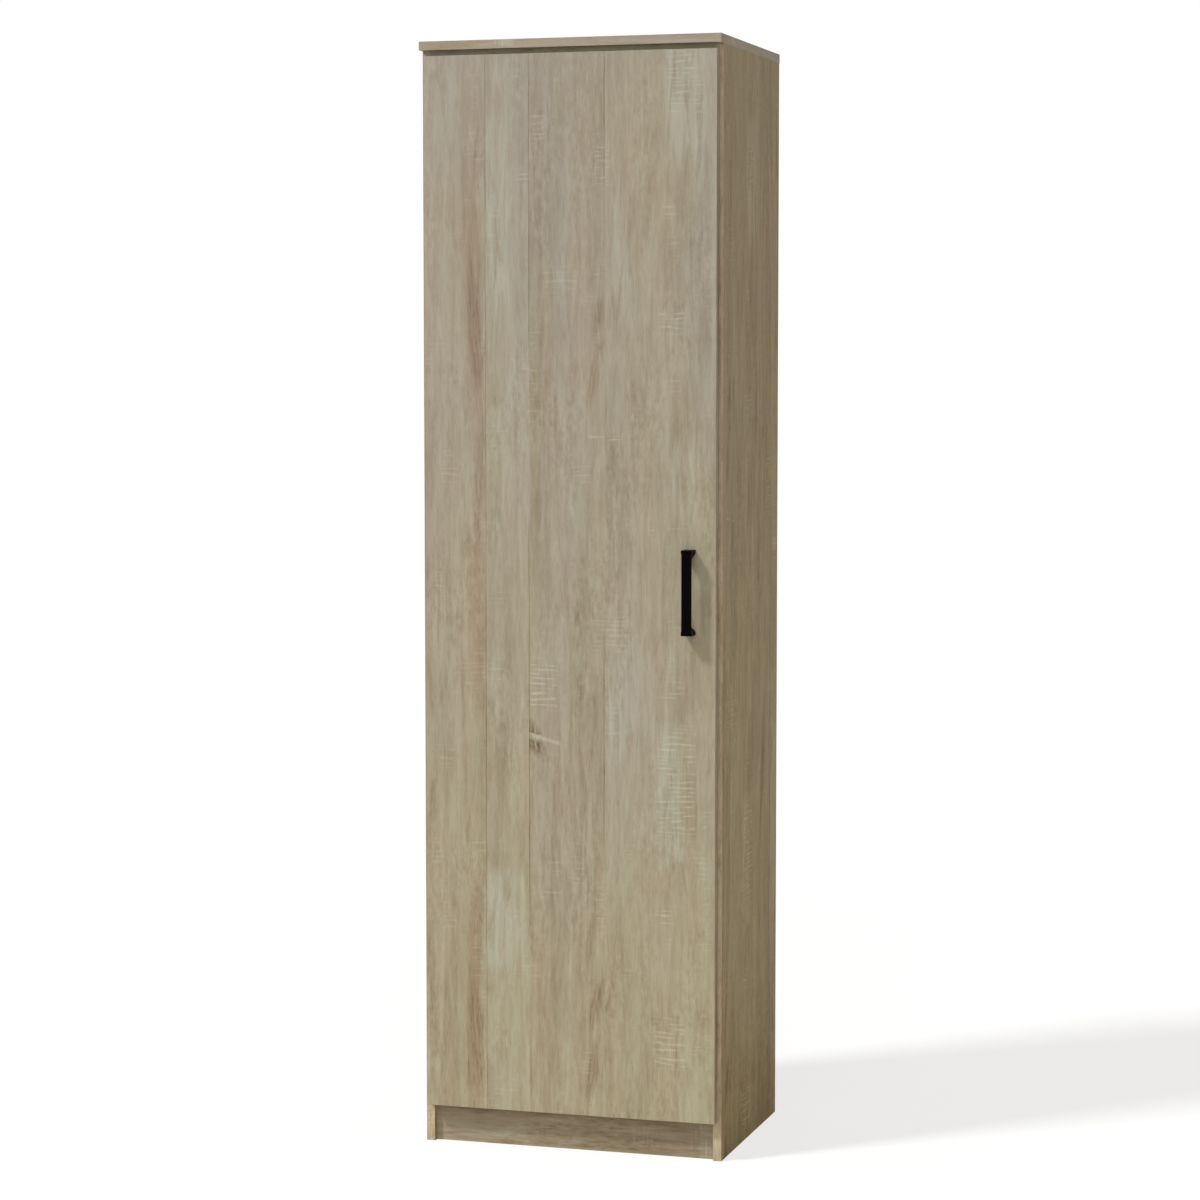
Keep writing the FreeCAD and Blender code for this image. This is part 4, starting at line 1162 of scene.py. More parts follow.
@dataclass(frozen=True)
class Metal:
    """Plated or cast metal with rubbed, cloudy and finely scratched skin.

    grain is the scale of its pits and relief how deep they are. cloud and scratch are the
    scales of its other noises, and what follows them is how much they count.
    """

    pale: Shade
    dull: Shade
    rough: float
    grain: float
    relief: float
    cloud: float = 140.0
    cloud_shade: float = 0.7
    cloud_gloss: float = 0.11
    scratch: tuple[float, float] = (2600.0, 420.0)
    scratch_shade: float = 0.3
    pit_gloss: float = 0.12
    strength: float = 0.4
    metallic: float = 0.92

    def material(self, name: str) -> bpy.types.Material:
        """Makes the material.

        Args:
            name: its name.

        Returns:
            The finished material.
        """
        material, bench, shader = new_material(name)
        where = bench.node("TexCoord").outputs["Object"]
        cloud = bench.noise(where, self.cloud, detail=3, rough=0.6)
        scratch = bench.noise(where, self.scratch, rough=0.6)
        pit = bench.noise(where, self.grain)
        shade = bench.add(bench.times(cloud, self.cloud_shade),
                          bench.times(scratch, self.scratch_shade))
        rough = bench.add(self.rough, bench.scaled(cloud, self.cloud_gloss),
                          bench.scaled(pit, self.pit_gloss))
        bench.surface(shader, bench.ramp(shade, painted(((0.3, self.dull), (0.7, self.pale)))),
                      rough, bench.bump(pit, self.relief, self.strength))
        shader.inputs["Metallic"].default_value = self.metallic
        return material


@dataclass(frozen=True)
class Hardboard:
    """Thin pressed fibre sheet: printed decor inside, raw brown fibre outside.

    fibre and cloud are the scales of its noises, screen is how close the pressed wire
    pattern is, and what follows them is how much they count.
    """

    sheet: DecorSheet
    cut: tuple[float, float]
    print_colour: Shade = (166, 155, 132)
    print_fade: float = 0.3
    raw_tones: Tones = ((0.2, (112, 84, 58)), (0.45, (150, 117, 84)), (0.62, (168, 135, 100)),
                        (0.9, (192, 162, 124)))
    fibre: float = 420.0
    fibre_shade: float = 0.75
    cloud: float = 16.0
    cloud_shade: float = 0.24
    screen: float = 2600.0
    screen_shade: float = 0.04
    screen_relief: float = 0.2
    print_relief: float = 0.4
    print_rough: float = 0.5
    raw_rough: float = 0.78
    relief: float = 0.15 * MM
    strength: float = 0.5
    specular: float = 0.3

    def material(self, name: str) -> bpy.types.Material:
        """Makes the material.

        Args:
            name: its name.

        Returns:
            The finished material.
        """
        material, bench, shader = new_material(name)
        where = bench.node("TexCoord")
        spot = where.outputs["Object"]
        across, _, up = bench.split(spot)
        facing = bench.split(where.outputs["Normal"])[Axis.DEPTH.value]
        printed = bench.math("LESS_THAN", facing, -FACING)
        sheet = bench.use(self.sheet.group, Across=bench.add(across, self.cut[0]),
                          Along=bench.add(up, self.cut[1]), Contrast=1.0, Drift=1.0).outputs
        decor = bench.blend(self.print_fade, sheet["Color"], paint(*self.print_colour))
        fibre = bench.noise(spot, self.fibre, detail=4, rough=0.7, warp=1.5)
        cloud = bench.noise(spot, self.cloud, detail=3, rough=0.6)
        screen = bench.times(*[bench.math("SINE", bench.times(way, self.screen))
                               for way in (across, up)])
        level = bench.add(bench.times(fibre, self.fibre_shade),
                          bench.times(cloud, self.cloud_shade),
                          bench.times(screen, self.screen_shade))
        raw = bench.ramp(level, painted(self.raw_tones))
        relief = bench.choose(
            printed, bench.add(fibre, bench.times(screen, self.screen_relief)),
            bench.times(sheet["Relief"], self.print_relief))
        bench.surface(shader, bench.blend(printed, raw, decor),
                      bench.choose(printed, self.raw_rough, self.print_rough),
                      bench.bump(relief, self.relief, self.strength))
        shader.inputs["Specular IOR Level"].default_value = self.specular
        return material


@dataclass(frozen=True)
class Beech:
    """Pale turned beech with short flecks.

    grain and fleck are the scales of its noises, and what follows them is how much they
    count.
    """

    tones: Tones = ((0.2, (166, 122, 80)), (0.5, (200, 160, 114)), (0.8, (220, 186, 142)))
    grain: tuple[float, float] = (90.0, 900.0)
    grain_gloss: float = 0.2
    fleck: float = 1400.0
    fleck_edge: Step = (0.6, 0.7)
    fleck_shade: float = -0.2
    rough: float = 0.6
    relief: float = 0.1 * MM
    strength: float = 0.5

    def material(self, name: str) -> bpy.types.Material:
        """Makes the material.

        Args:
            name: its name.

        Returns:
            The finished material.
        """
        material, bench, shader = new_material(name)
        where = bench.node("TexCoord").outputs["Object"]
        grain = bench.noise(where, self.grain, detail=3, rough=0.6)
        fleck = bench.smooth(bench.noise(where, self.fleck, detail=1), *self.fleck_edge)
        level = bench.add(grain, bench.times(fleck, self.fleck_shade))
        bench.surface(shader, bench.ramp(level, painted(self.tones)),
                      bench.add(self.rough, bench.scaled(grain, self.grain_gloss)),
                      bench.bump(grain, self.relief, self.strength))
        return material


@dataclass(frozen=True)
class Moulding:
    """Moulded plastic: opaque white, or clear and a little cloudy.

    cloud and skin are the scales of its noises, and what follows them is how much they
    count.
    """

    pale: Shade
    aged: Shade
    clear: float
    rough: float
    cloud: float = 70.0
    cloud_gloss: float = 0.1
    skin: float = 2200.0
    skin_gloss: float = 0.15
    relief: float = 0.03 * MM
    strength: float = 0.4

    def material(self, name: str) -> bpy.types.Material:
        """Makes the material.

        Args:
            name: its name.

        Returns:
            The finished material.
        """
        material, bench, shader = new_material(name)
        where = bench.node("TexCoord").outputs["Object"]
        cloud = bench.noise(where, self.cloud, detail=3, rough=0.6)
        skin = bench.noise(where, self.skin)
        rough = bench.add(self.rough, bench.scaled(skin, self.skin_gloss),
                          bench.scaled(cloud, self.cloud_gloss))
        bench.surface(
            shader, bench.ramp(cloud, painted(((0.3, self.aged), (0.65, self.pale)))),
            rough, bench.bump(skin, self.relief, self.strength))
        shader.inputs["Transmission Weight"].default_value = self.clear
        return material


# ------------------------------------------------------------------- work on CAD nodes


def dress(names: Iterable[str], material: bpy.types.Material) -> None:
    """Gives CAD nodes one material.

    Args:
        names: the nodes.
        material: what they are made of.
    """
    for name in names:
        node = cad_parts[name]
        if not node.material_slots:
            node.data.materials.append(None)
        for slot in node.material_slots:
            slot.material = material
        LOG.info("%s dressed in %s", name, material.name)


def ease_edges(name: str, width: float) -> None:
    """Rounds the sharp edges of a CAD node a little, with modifiers.

    Args:
        name: the node.
        width: the width of the rounding, in metres.
    """
    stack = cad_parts[name].modifiers
    joined = stack.new("joined_corners", "WELD")
    joined.merge_threshold = SAME_PLACE
    flat = stack.new("flat_faces", "DECIMATE")
    flat.decimate_type = "DISSOLVE"
    flat.angle_limit = FLAT_ANGLE
    bevel = stack.new("eased_edges", "BEVEL")
    bevel.width = width
    bevel.segments = 2
    bevel.limit_method = "ANGLE"
    bevel.angle_limit = EDGE_ANGLE
    bevel.harden_normals = True


@dataclass(frozen=True)
class Lump:
    """One separate solid of a CAD node: where it lies and how it is turned.

    middle is a point on its axis at the start, heading runs along the axis, away from the
    wider end, and rings gives radius by distance from the start.
    """

    middle: Vector
    heading: Vector
    length: float
    rings: tuple[tuple[float, float], ...]


def lumps(name: str, flat: bool = False) -> list[Lump]:
    """Finds the separate round solids of a CAD node.

    Args:
        name: the node.
        flat: whether they are wider than long.

    Returns:
        One entry for each solid.
    """
    points = bmesh.new()
    points.from_mesh(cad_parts[name].data)
    bmesh.ops.remove_doubles(points, verts=points.verts, dist=SAME_PLACE)
    found, seen = [], set()
    for start in points.verts:
        if start.index in seen:
            continue
        seen.add(start.index)
        queue, group = [start], []
        while queue:
            vertex = queue.pop()
            group.append(vertex.co.copy())
            for edge in vertex.link_edges:
                other = edge.other_vert(vertex)
                if other.index not in seen:
                    seen.add(other.index)
                    queue.append(other)
        found.append(group)
    points.free()
    return [measured(group, flat) for group in found]


def measured(group: Sequence[Vector], flat: bool) -> Lump:
    """Measures one round solid from its corner points.

    Args:
        group: its corner points.
        flat: whether it is wider than long.

    Returns:
        Its place, heading, length and rings.
    """
    low = Vector(min(point[axis] for point in group) for axis in range(3))
    high = Vector(max(point[axis] for point in group) for axis in range(3))
    size = high - low
    spans = list(size)
    axis = spans.index(min(spans) if flat else max(spans))
    centre = (low + high) / 2
    rings: dict[float, float] = {}
    for point in group:
        away = point - centre
        away[axis] = 0.0
        step = round(point[axis] - low[axis], ROUNDED)
        rings[step] = max(rings.get(step, 0.0), round(away.length, ROUNDED))
    heading = Vector((0.0, 0.0, 0.0))
    heading[axis] = 1.0
    start = centre.copy()
    start[axis] = low[axis]
    ordered = sorted(rings.items())
    if ordered[0][1] < ordered[-1][1]:
        heading = -heading
        start[axis] = high[axis]
        ordered = [(size[axis] - step, radius) for step, radius in reversed(ordered)]
    return Lump(start, heading, size[axis], tuple(ordered))


# ---------------------------------------------------------------------- turned fixings


@dataclass
class Lathe:
    """Turns profiles into one mesh.

    sharp is the angle from which an edge isn't shaded smooth, and taper is how much
    narrower a driver's cross is at its floor.
    """

    facets: int = 32
    sharp: float = math.radians(38)
    taper: float = 0.5
    mesh: bmesh.types.BMesh = field(default_factory=bmesh.new, init=False)

    def spin(self, lump: Lump, profile: Sequence[tuple[float, float]],
             flutes: int = 0, depth: float = 0.0) -> tuple[list[bmesh.types.BMVert], Matrix]:
        """Turns one profile about a solid's axis.

        Args:
            lump: the solid that it stands for.
            profile: distance from the start and radius, from one end to the other.
            flutes: how many grooves run along it.
            depth: how deep they are.

        Returns:
            The first ring's corners and the turned piece's placement.
        """
        turn = lump.heading.to_track_quat("Z", "Y").to_matrix().to_4x4()
        place = Matrix.Translation(lump.middle) @ turn
        facets = max(self.facets, flutes * 4)
        angles = [TURN * index / facets for index in range(facets)]
        grooves = [depth * (0.5 - 0.5 * math.cos(flutes * angle)) for angle in angles]
        rows = [[self.mesh.verts.new(place @ Vector((
            (radius - groove) * math.cos(angle), (radius - groove) * math.sin(angle), step)))
            for angle, groove in zip(angles, grooves)] for step, radius in profile]
        for first, second in zip(rows, rows[1:]):
            for index in range(facets):
                after = (index + 1) % facets
                self.mesh.faces.new((first[index], first[after], second[after], second[index]))
        self.mesh.faces.new(rows[-1])
        return rows[0], place

    def cap(self, ring: Sequence[bmesh.types.BMVert]) -> None:
        """Closes a turned piece's first end."""
        self.mesh.faces.new(list(reversed(ring)))

    def cross(self, ring: Sequence[bmesh.types.BMVert], place: Matrix, reach: float,
              width: float, depth: float) -> None:
        """Closes a screw's head round a cross for the driver.

        Args:
            ring: the corners of the head's flat top.
            place: the screw's placement.
            reach: how far the cross's arms reach from the middle.
            width: half the width of an arm.
            depth: how deep the cross is.
        """
        outline = []
        for quarter in range(4):
            turn = Matrix.Rotation(quarter * TURN / 4, 3, "Z")
            for corner in ((reach, -width), (reach, width), (width, width)):
                outline.append(turn @ Vector((*corner, 0.0)))
        mouth = [self.mesh.verts.new(place @ point) for point in outline]
        floor = [self.mesh.verts.new(place @ Vector(
            (point.x * self.taper, point.y * self.taper, depth))) for point in outline]
        rim = [self.mesh.edges.get(pair) for pair in zip(ring, [*ring[1:], ring[0]])]
        rim += [self.mesh.edges.new(pair) for pair in zip(mouth, [*mouth[1:], mouth[0]])]
        bmesh.ops.triangle_fill(self.mesh, edges=rim, use_beauty=True)
        for index in range(len(outline)):
            after = (index + 1) % len(outline)
            self.mesh.faces.new((mouth[index], mouth[after], floor[after], floor[index]))
        self.mesh.faces.new(floor)

    def finish(self, name: str, body: Body, slot: Slot, material: bpy.types.Material,
               node: str) -> None:
        """Closes the mesh and puts the piece in place of a CAD node.

        Args:
            name: the piece's name.
            body: what it rides on.
            slot: the record's material slot; not used.
            material: its finish.
            node: the CAD node that it stands for.
        """
        bmesh.ops.recalc_face_normals(self.mesh, faces=self.mesh.faces)
        for face in self.mesh.faces:
            face.smooth = True
        for edge in self.mesh.edges:
            edge.smooth = len(edge.link_faces) == 2 and edge.calc_face_angle() < self.sharp
        data = bpy.data.meshes.new(name)
        self.mesh.to_mesh(data)
        self.mesh.free()
        data.materials.append(material)
        piece = stand(name, data)
        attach(piece, body.value)
        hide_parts(node)
        LOG.info("%s made in place of %s", name, node)


class Drive(Enum):
    """What a fixing's head is made for."""

    CROSS = "cross"
    HAMMER = "hammer"


@dataclass
class Fixings:
    """Screws, nails, dowels, shelf pins and bumpers, turned to the solids' sizes.

    The heads are shares of the head's length and radius, the nail's grips millimetres
    past the head and shares of the shank's radius, and the pin's ends shares of pin_ease
    along the pin and in from its surface.
    """

    pitch: float = 1.25 * MM
    crest: float = 0.3
    root: float = 0.80
    point: float = 2.2 * MM
    point_start: float = 0.6
    point_end: float = 0.12
    screw_head: tuple[tuple[float, float], ...] = (
        (0.0, 0.66), (0.06, 0.76), (0.22, 0.90), (0.48, 0.985), (0.70, 1.0), (1.0, 0.97))
    cross_reach: float = 0.52
    cross_width: float = 0.11
    cross_depth: float = 0.62
    nail_head: tuple[tuple[float, float], ...] = (
        (0.0, 0.80), (0.3, 0.95), (0.65, 1.0), (1.0, 0.96))
    nail_grips: tuple[tuple[float, float], ...] = (
        (0.0, 1.0), (1.2, 1.0), (1.35, 0.9), (1.6, 0.9), (1.75, 1.0))
    nail_point: float = 0.2
    nail_end: float = 0.1
    dowel_end: float = 1.2 * MM
    dowel_tip: float = 0.78
    dowel_flutes: int = 14
    flute_depth: float = 0.35 * MM
    pin_ease: float = 0.45 * MM
    pin_start: tuple[tuple[float, float], ...] = ((0.0, 1.6), (0.3, 0.6), (1.0, 0.0))
    pin_end: tuple[tuple[float, float], ...] = ((-1.0, 0.0), (-0.3, 0.5), (0.0, 1.3))
    dome_foot: tuple[tuple[float, float], ...] = ((0.0, 0.985), (0.1, 1.0))
    dome_height: tuple[float, float] = (0.25, 0.75)
    dome_width: tuple[float, float] = (0.55, 0.45)
    dome_step: int = 10

    def threaded(self, lump: Lump, head_end: float, shank: float) -> list[tuple[float, float]]:
        """Gives the profile of a pointed, threaded shank.

        Args:
            lump: the screw's solid.
            head_end: where the head ends.
            shank: the thread's outer radius.

        Returns:
            The profile from the head's end to the point.
        """
        profile = [(head_end, shank * self.root)]
        step = head_end + self.pitch
        while step < lump.length - self.point:
            profile += [(step - self.pitch * self.crest, shank * self.root), (step, shank),
                        (step + self.pitch * self.crest, shank * self.root)]
            step += self.pitch
        return profile + [(lump.length - self.point * self.point_start, shank * self.root),
                          (lump.length, shank * self.point_end)]

    def head_of(self, lump: Lump) -> tuple[float, float, float]:
        """Measures a headed solid.

        Args:
            lump: the solid.

        Returns:
            Its head's radius and length and its shank's radius.
        """
        wide = lump.rings[0][1]
        shank = lump.rings[-1][1]
        length = max(step for step, radius in lump.rings if radius > (wide + shank) / 2)
        return wide, length, shank

    def screw(self, lathe: Lathe, lump: Lump) -> None:
        """Turns one screw.

        Args:
            lathe: the mesh that it goes into.
            lump: the solid that it stands for.
        """
        wide, deep, shank = self.head_of(lump)
        head = [(deep * step, wide * share) for step, share in self.screw_head]
        ring, place = lathe.spin(lump, head + self.threaded(lump, deep, shank))
        lathe.cross(ring, place, wide * self.cross_reach, wide * self.cross_width,
                    deep * self.cross_depth)

    def nail(self, lathe: Lathe, lump: Lump) -> None:
        """Turns one nail.

        Args:
            lathe: the mesh that it goes into.
            lump: the solid that it stands for.
        """
        wide, deep, shank = self.head_of(lump)
        tip = min(self.point, lump.length * self.nail_point)
        profile = [(deep * step, wide * share) for step, share in self.nail_head]
        profile += [(deep + step * MM, shank * share) for step, share in self.nail_grips]
        profile += [(lump.length - tip, shank), (lump.length, shank * self.nail_end)]
        ring, _ = lathe.spin(lump, profile)
        lathe.cap(ring)

    def driven(self, name: str, node: str, body: Body, drive: Drive,
               material: bpy.types.Material) -> None:
        """Turns all the screws or nails of one node.

        Args:
            name: the piece's name.
            node: the CAD node that it stands for.
            body: what it rides on.
            drive: what the heads are made for.
            material: its finish.
        """
        lathe = Lathe()
        turn = self.screw if drive is Drive.CROSS else self.nail
        for lump in lumps(node):
            turn(lathe, lump)
        lathe.finish(name, body, Slot.ZINC, material, node)

    def dowels(self, material: bpy.types.Material) -> None:
        """Turns the fluted dowels with their chamfered ends.

        Args:
            material: their finish.
        """
        lathe = Lathe()
        for lump in lumps("wood_dowels"):
            radius = lump.rings[0][1]
            profile = [(0.0, radius * self.dowel_tip), (self.dowel_end, radius),
                       (lump.length - self.dowel_end, radius),
                       (lump.length, radius * self.dowel_tip)]
            ring, _ = lathe.spin(lump, profile, self.dowel_flutes, self.flute_depth)
            lathe.cap(ring)
        lathe.finish("fluted_dowels", Body.CARCASS, Slot.BEECH, material, "wood_dowels")

    def shelf_pins(self, count: str, material: bpy.types.Material) -> None:
        """Turns the four pins under one loose shelf, with rounded ends and collars.

        Args:
            count: the shelf's number, in words.
            material: their finish.
        """
        node = f"shelf_pins_{count}"
        lathe = Lathe()
        for lump in lumps(node):
            (start, thick), *collar, (end, thin) = lump.rings
            profile = [(start + self.pin_ease * step, thick - self.pin_ease * inward)
                       for step, inward in self.pin_start]
            profile += collar
            profile += [(end + self.pin_ease * step, thin - self.pin_ease * inward)
                        for step, inward in self.pin_end]
            ring, _ = lathe.spin(lump, profile)
            lathe.cap(ring)
        lathe.finish(f"turned_pins_{count}", Body.CARCASS, Slot.NICKEL, material, node)

    def bumpers(self, material: bpy.types.Material) -> None:
        """Turns the door's two soft bumpers as flattened domes.

        Args:
            material: their finish.
        """
        lathe = Lathe()
        for lump in lumps("door_buffers", flat=True):
            wide, deep = lump.rings[0][1], lump.length
            profile = [(deep * step, wide * share) for step, share in self.dome_foot]
            for angle in range(0, 91, self.dome_step):
                rise, run = math.sin(math.radians(angle)), math.cos(math.radians(angle))
                profile.append((deep * (self.dome_height[0] + self.dome_height[1] * rise),
                                wide * (self.dome_width[0] + self.dome_width[1] * run)))
            ring, _ = lathe.spin(lump, profile)
            lathe.cap(ring)
        lathe.finish("soft_bumpers", Body.DOOR, Slot.BUFFER, material, "door_buffers")


# --------------------------------------------------------------------- sub-assemblies


@dataclass
class Carcass:
    """Sides, top, bottom, shelves and rails.

    painted_side_shade is painted shade: a darker, browner tint on both sides' faces that
    stands for the shade on the side away from the key light. band_tone_and_light lightens
    their front edge bands, partly as a paler band and partly as painted light on the strip
    beside the door.
    strong is the contrast of the sides and plinth, and steady the drift of the sides.
    """

    finish: BoardFinish
    ease: float = 0.4 * MM
    # Painted shade: a darker, browner tint on both sides' faces for the side away from the key
    # light.
    painted_side_shade: Tint = (1.00, 0.885, 0.648)
    # Painted light mixed with a paler band tone: lighter front edge bands on the sides.
    band_tone_and_light: Tint = (1.23, 1.12, 1.04)
    strong: float = 1.5
    steady: float = 0.35
    boards: tuple[Board, ...] = field(init=False)

    def __post_init__(self) -> None:
        """Lists the boards with their places on the sheet."""
        upright = dict(thin=Axis.ACROSS, grain=Axis.UP, side=Axis.DEPTH,
                       raw=(Face.BACK, Face.TOP, Face.UNDER), shade=self.painted_side_shade,
                       edge_shade=self.band_tone_and_light, contrast=self.strong, drift=self.steady)
        level = dict(thin=Axis.UP, grain=Axis.ACROSS, side=Axis.DEPTH)
        rail = dict(thin=Axis.DEPTH, grain=Axis.ACROSS, side=Axis.UP)
        ends = (Face.LEFT, Face.RIGHT)
        self.boards = (
            Board("side_panel_right", **upright, cut=(0.450, 0.14)),
            Board("side_panel_left", **upright, cut=(0.487, 0.19), mirrored=True),
            Board("top_board", **level, cut=(0.11, 1.30), edge_shade=(1.03, 1.0, 1.04)),
            Board("bottom_board", **level, raw=ends + (Face.BACK,), cut=(0.33, 1.41)),
            Board("fixed_shelf", **level, raw=ends + (Face.BACK,), cut=(0.52, 0.93)),
            Board("shelf_one", **level, cut=(0.05, 1.72)),
            Board("shelf_two", **level, cut=(0.41, 0.27)),
            Board("shelf_three", **level, cut=(0.24, 1.06)),
            Board("shelf_four", **level, cut=(0.60, 0.55)),
            # Painted shade: the plinth's darker tint stands for the shade in its recess under
            # the door.
            Board("plinth_board", **rail, raw=ends + (Face.UNDER, Face.TOP),
                  cut=(0.627, 0.95), shade=(0.81, 0.745, 0.67), contrast=self.strong),
            Board("plinth_rear_rail", **rail, raw=ends + (Face.UNDER, Face.TOP),
                  cut=(0.48, 1.3)),
            Board("top_front_rail", **rail, raw=ends + (Face.TOP,), cut=(0.14, 0.2)))

    def dress(self) -> None:
        """Gives each board its decor, and the loose shelves their eased edges."""
        for board in self.boards:
            dress((board.node,), self.finish.material(board))
            if board.node.startswith("shelf_"):
                ease_edges(board.node, self.ease)


@dataclass
class Back:
    """The two back sheets, their joint strip and their nails."""

    sheet: DecorSheet
    cut: tuple[float, float] = (0.3, 0.2)
    strip: Moulding = Moulding((226, 225, 219), (206, 202, 190), clear=0.0, rough=0.42)
    nail: Metal = Metal((196, 196, 194), (150, 148, 144), rough=0.34, grain=900.0,
                        relief=0.03 * MM)

    def dress(self) -> None:
        """Gives the sheets, strip and nails their finishes."""
        board = Hardboard(self.sheet, self.cut)
        for level in ("lower", "upper"):
            dress((f"back_panel_{level}",), board.material(f"back_{level}"))
        dress(("back_joint_strip",), self.strip.material("white_plastic"))
        Fixings().driven("back_nails", "back_panel_nails", Body.CARCASS, Drive.HAMMER,
                         self.nail.material("zinc_nails"))


@dataclass
class Door:
    """The slab door with its handle and bumpers."""

    finish: BoardFinish
    coat: PowderCoat = PowderCoat()
    bumper: Moulding = Moulding((232, 234, 232), (214, 216, 210), clear=0.75, rough=0.22)

    def dress(self) -> None:
        """Gives the door, handle and bumpers their finishes."""
        # The door is cut from the sheet's own corner.
        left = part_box("door_panel")[0].x
        board = Board("door_panel", thin=Axis.DEPTH, grain=Axis.UP, side=Axis.ACROSS,
                      cut=(-left, 0.0))
        dress(("door_panel",), self.finish.material(board))
        dress(("handle",), self.coat.material("black_powder_coat"))
        Fixings().bumpers(self.bumper.material("clear_buffer"))


@dataclass
class Hardware:
    """Hinges, cams, dowels, pins, screws and the wall bracket."""

    levels: tuple[str, ...] = ("bottom", "lower", "upper", "top")
    hinge_parts: tuple[str, ...] = ("cup", "arm", "plate", "arm_link", "cup_link")
    hinge_pins: tuple[str, ...] = ("hinge_cup_pins", "hinge_arm_pins", "hinge_knee_pins")
    screws: tuple[tuple[str, Body], ...] = (
        ("hinge_cup_screws", Body.DOOR), ("hinge_plate_screws", Body.CARCASS),
        ("hinge_arm_screws", Body.CARCASS), ("handle_screws", Body.DOOR),
        ("bracket_screws", Body.CARCASS))
    nickel: Metal = Metal((228, 223, 215), (211, 205, 197), rough=0.26, grain=700.0,
                          relief=0.02 * MM)
    zinc: Metal = Metal((204, 206, 208), (160, 164, 168), rough=0.3, grain=900.0,
                        relief=0.03 * MM)
    alloy: Metal = Metal((168, 168, 168), (128, 128, 130), rough=0.46, grain=1300.0,
                         relief=0.06 * MM)
    hinge_ease: float = 0.2 * MM
    bracket_ease: float = 0.4 * MM

    def dress(self) -> None:
        """Gives each kind of fitting its finish."""
        nickel = self.nickel.material("nickel")
        zinc = self.zinc.material("zinc")
        parts = [f"hinge_{part}_{level}" for level in self.levels for part in self.hinge_parts]
        dress((*parts, *self.hinge_pins), nickel)
        for part in parts:
            ease_edges(part, self.hinge_ease)
        dress(("cam_bolts", "wall_bracket"), zinc)
        ease_edges("wall_bracket", self.bracket_ease)
        dress(("cam_locks",), self.alloy.material("alloy"))
        fixings = Fixings()
        for node, body in self.screws:
            fixings.driven("cross_" + node, node, body, Drive.CROSS, zinc)
        for count in ("one", "two", "three", "four"):
            fixings.shelf_pins(count, nickel)
        fixings.dowels(Beech().material("beech"))


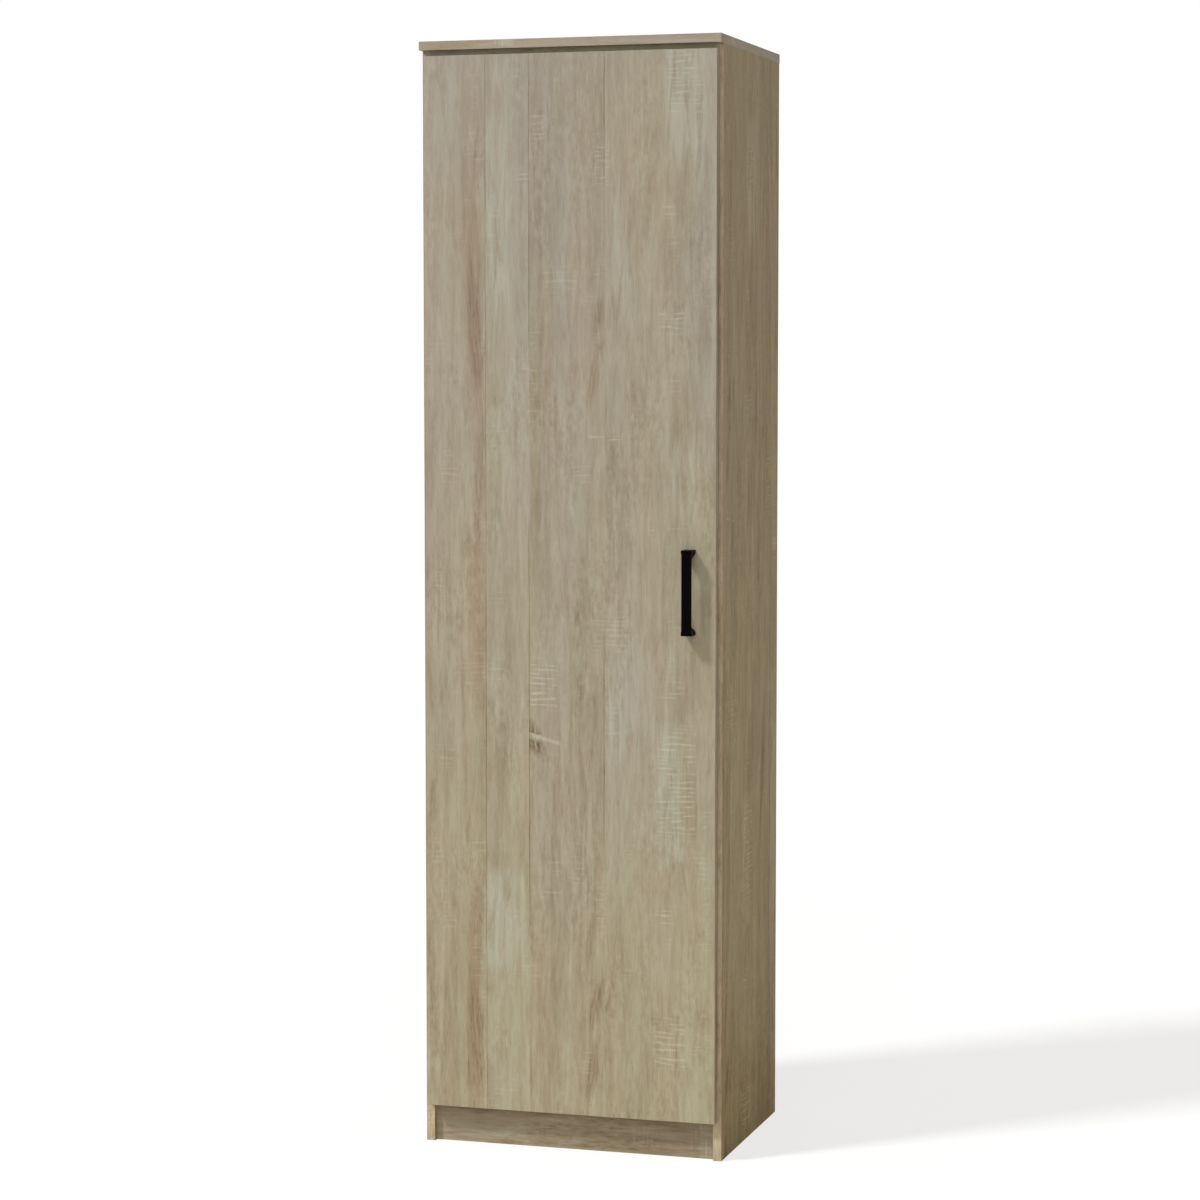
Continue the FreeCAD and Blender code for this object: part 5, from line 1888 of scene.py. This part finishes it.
@dataclass
class Studio:
    """Floor, lamps, surroundings and camera.

    The ways point from the object to each lamp, and spreads and camera angles are degrees.
    focal is in pixels of the photograph, and mirrored_white is how much of the white
    shows in glossy surfaces.
    """

    camera_place: tuple[float, float, float] = (1.6688, -5.5079, 1.3829)
    yaw: float = 16.87
    pitch: float = 4.25
    focal: float = 3238.35
    image: float = 1200.0
    sensor: float = 36.0
    clip: tuple[float, float] = (0.05, 200.0)
    key_way: tuple[float, float, float] = (-26.0, -24.0, 41.0)
    key_strength: float = 2.15
    key_spread: float = 8.0
    fill_way: tuple[float, float, float] = (6.0, -30.0, 8.0)
    fill_strength: float = 0.95
    fill_spread: float = 50.0
    lamp_colour: Tint = (0.985, 0.99, 1.0)
    sky: Linear = (1.0, 0.95, 0.86, 1.0)
    sky_strength: float = 0.30
    white: Linear = (1.0, 1.0, 1.0, 1.0)
    mirrored_white: float = 0.40
    floor_size: float = 60.0
    paper: Linear = (0.72, 0.69, 0.63, 1.0)
    shown_paper: Linear = (0.36, 0.36, 0.36, 1.0)
    paper_glow: float = 0.70

    def floor(self) -> None:
        """Lays the pale floor, which keeps the shadow."""
        half = self.floor_size / 2
        mesh = bpy.data.meshes.new("studio_floor")
        mesh.from_pydata([(-half, -half, 0), (half, -half, 0), (half, half, 0),
                          (-half, half, 0)], [], [(0, 1, 2, 3)])
        stand("studio_floor", mesh)
        material = bpy.data.materials.new("studio_floor")
        bench = emptied(material)
        lit = bench.filled("BsdfDiffuse", (self.paper,))
        glow = bench.filled("Emission", (self.white, self.paper_glow))
        shown = bench.filled("AddShader", (
            bench.filled("BsdfDiffuse", (self.shown_paper,)), glow))
        ray = bench.node("LightPath").outputs["Is Camera Ray"]
        mixed = bench.filled("MixShader", (ray, lit, shown))
        bench.plug(bench.node("OutputMaterial").inputs[0], mixed)
        mesh.materials.append(material)

    def surroundings(self) -> None:
        """Lights the object evenly from all round and shows white behind it."""
        world = bpy.data.worlds.new("studio")
        bpy.context.scene.world = world
        bench = emptied(world)
        soft = bench.filled("Background", (self.sky, self.sky_strength))
        white = bench.filled("Background", (self.white, 1.0))
        ray = bench.node("LightPath").outputs
        shown = bench.math(
            "MAXIMUM", bench.math("MAXIMUM", ray["Is Camera Ray"], ray["Is Transmission Ray"]),
            bench.times(ray["Is Glossy Ray"], self.mirrored_white))
        mixed = bench.filled("MixShader", (shown, soft, white))
        bench.plug(bench.node("OutputWorld").inputs[0], mixed)

    def lamps(self) -> None:
        """Hangs the key light at the upper left and a wide soft fill in front."""
        for name, way, strength, spread in (
                ("key", self.key_way, self.key_strength, self.key_spread),
                ("fill", self.fill_way, self.fill_strength, self.fill_spread)):
            lamp = bpy.data.lights.new(name, "SUN")
            lamp.energy = strength
            lamp.angle = math.radians(spread)
            lamp.color = self.lamp_colour
            hung = stand(name, lamp)
            hung.rotation_mode = "QUATERNION"
            hung.rotation_quaternion = Vector(way).to_track_quat("Z", "Y")

    def camera(self) -> None:
        """Sets the camera at the photograph's viewing angle."""
        lens = bpy.data.cameras.new("camera")
        lens.sensor_width = self.sensor
        lens.lens = self.focal * self.sensor / self.image
        lens.clip_start, lens.clip_end = self.clip
        eye = stand("camera", lens)
        eye.location = self.camera_place
        eye.rotation_euler = (math.radians(90 - self.pitch), 0.0, math.radians(self.yaw))
        bpy.context.scene.camera = eye
        bpy.context.scene.view_settings.view_transform = "Standard"

    def build(self) -> None:
        """Builds the whole studio."""
        for part in (self.floor, self.surroundings, self.lamps, self.camera):
            part()
            LOG.info("studio: %s built", part.__name__)


def main() -> None:
    """Builds and dresses the sub-assemblies in order."""
    logging.basicConfig(level=logging.INFO, format="%(name)s: %(message)s")
    Studio().build()
    sheet, core = DecorSheet(), ChipCore()
    sheet.make()
    core.make()
    finish = BoardFinish(sheet, core)
    for assembly in (Carcass(finish), Back(sheet), Door(finish), Hardware()):
        assembly.dress()
        LOG.info("%s done", type(assembly).__name__)


if __name__ == "__main__":
    main()
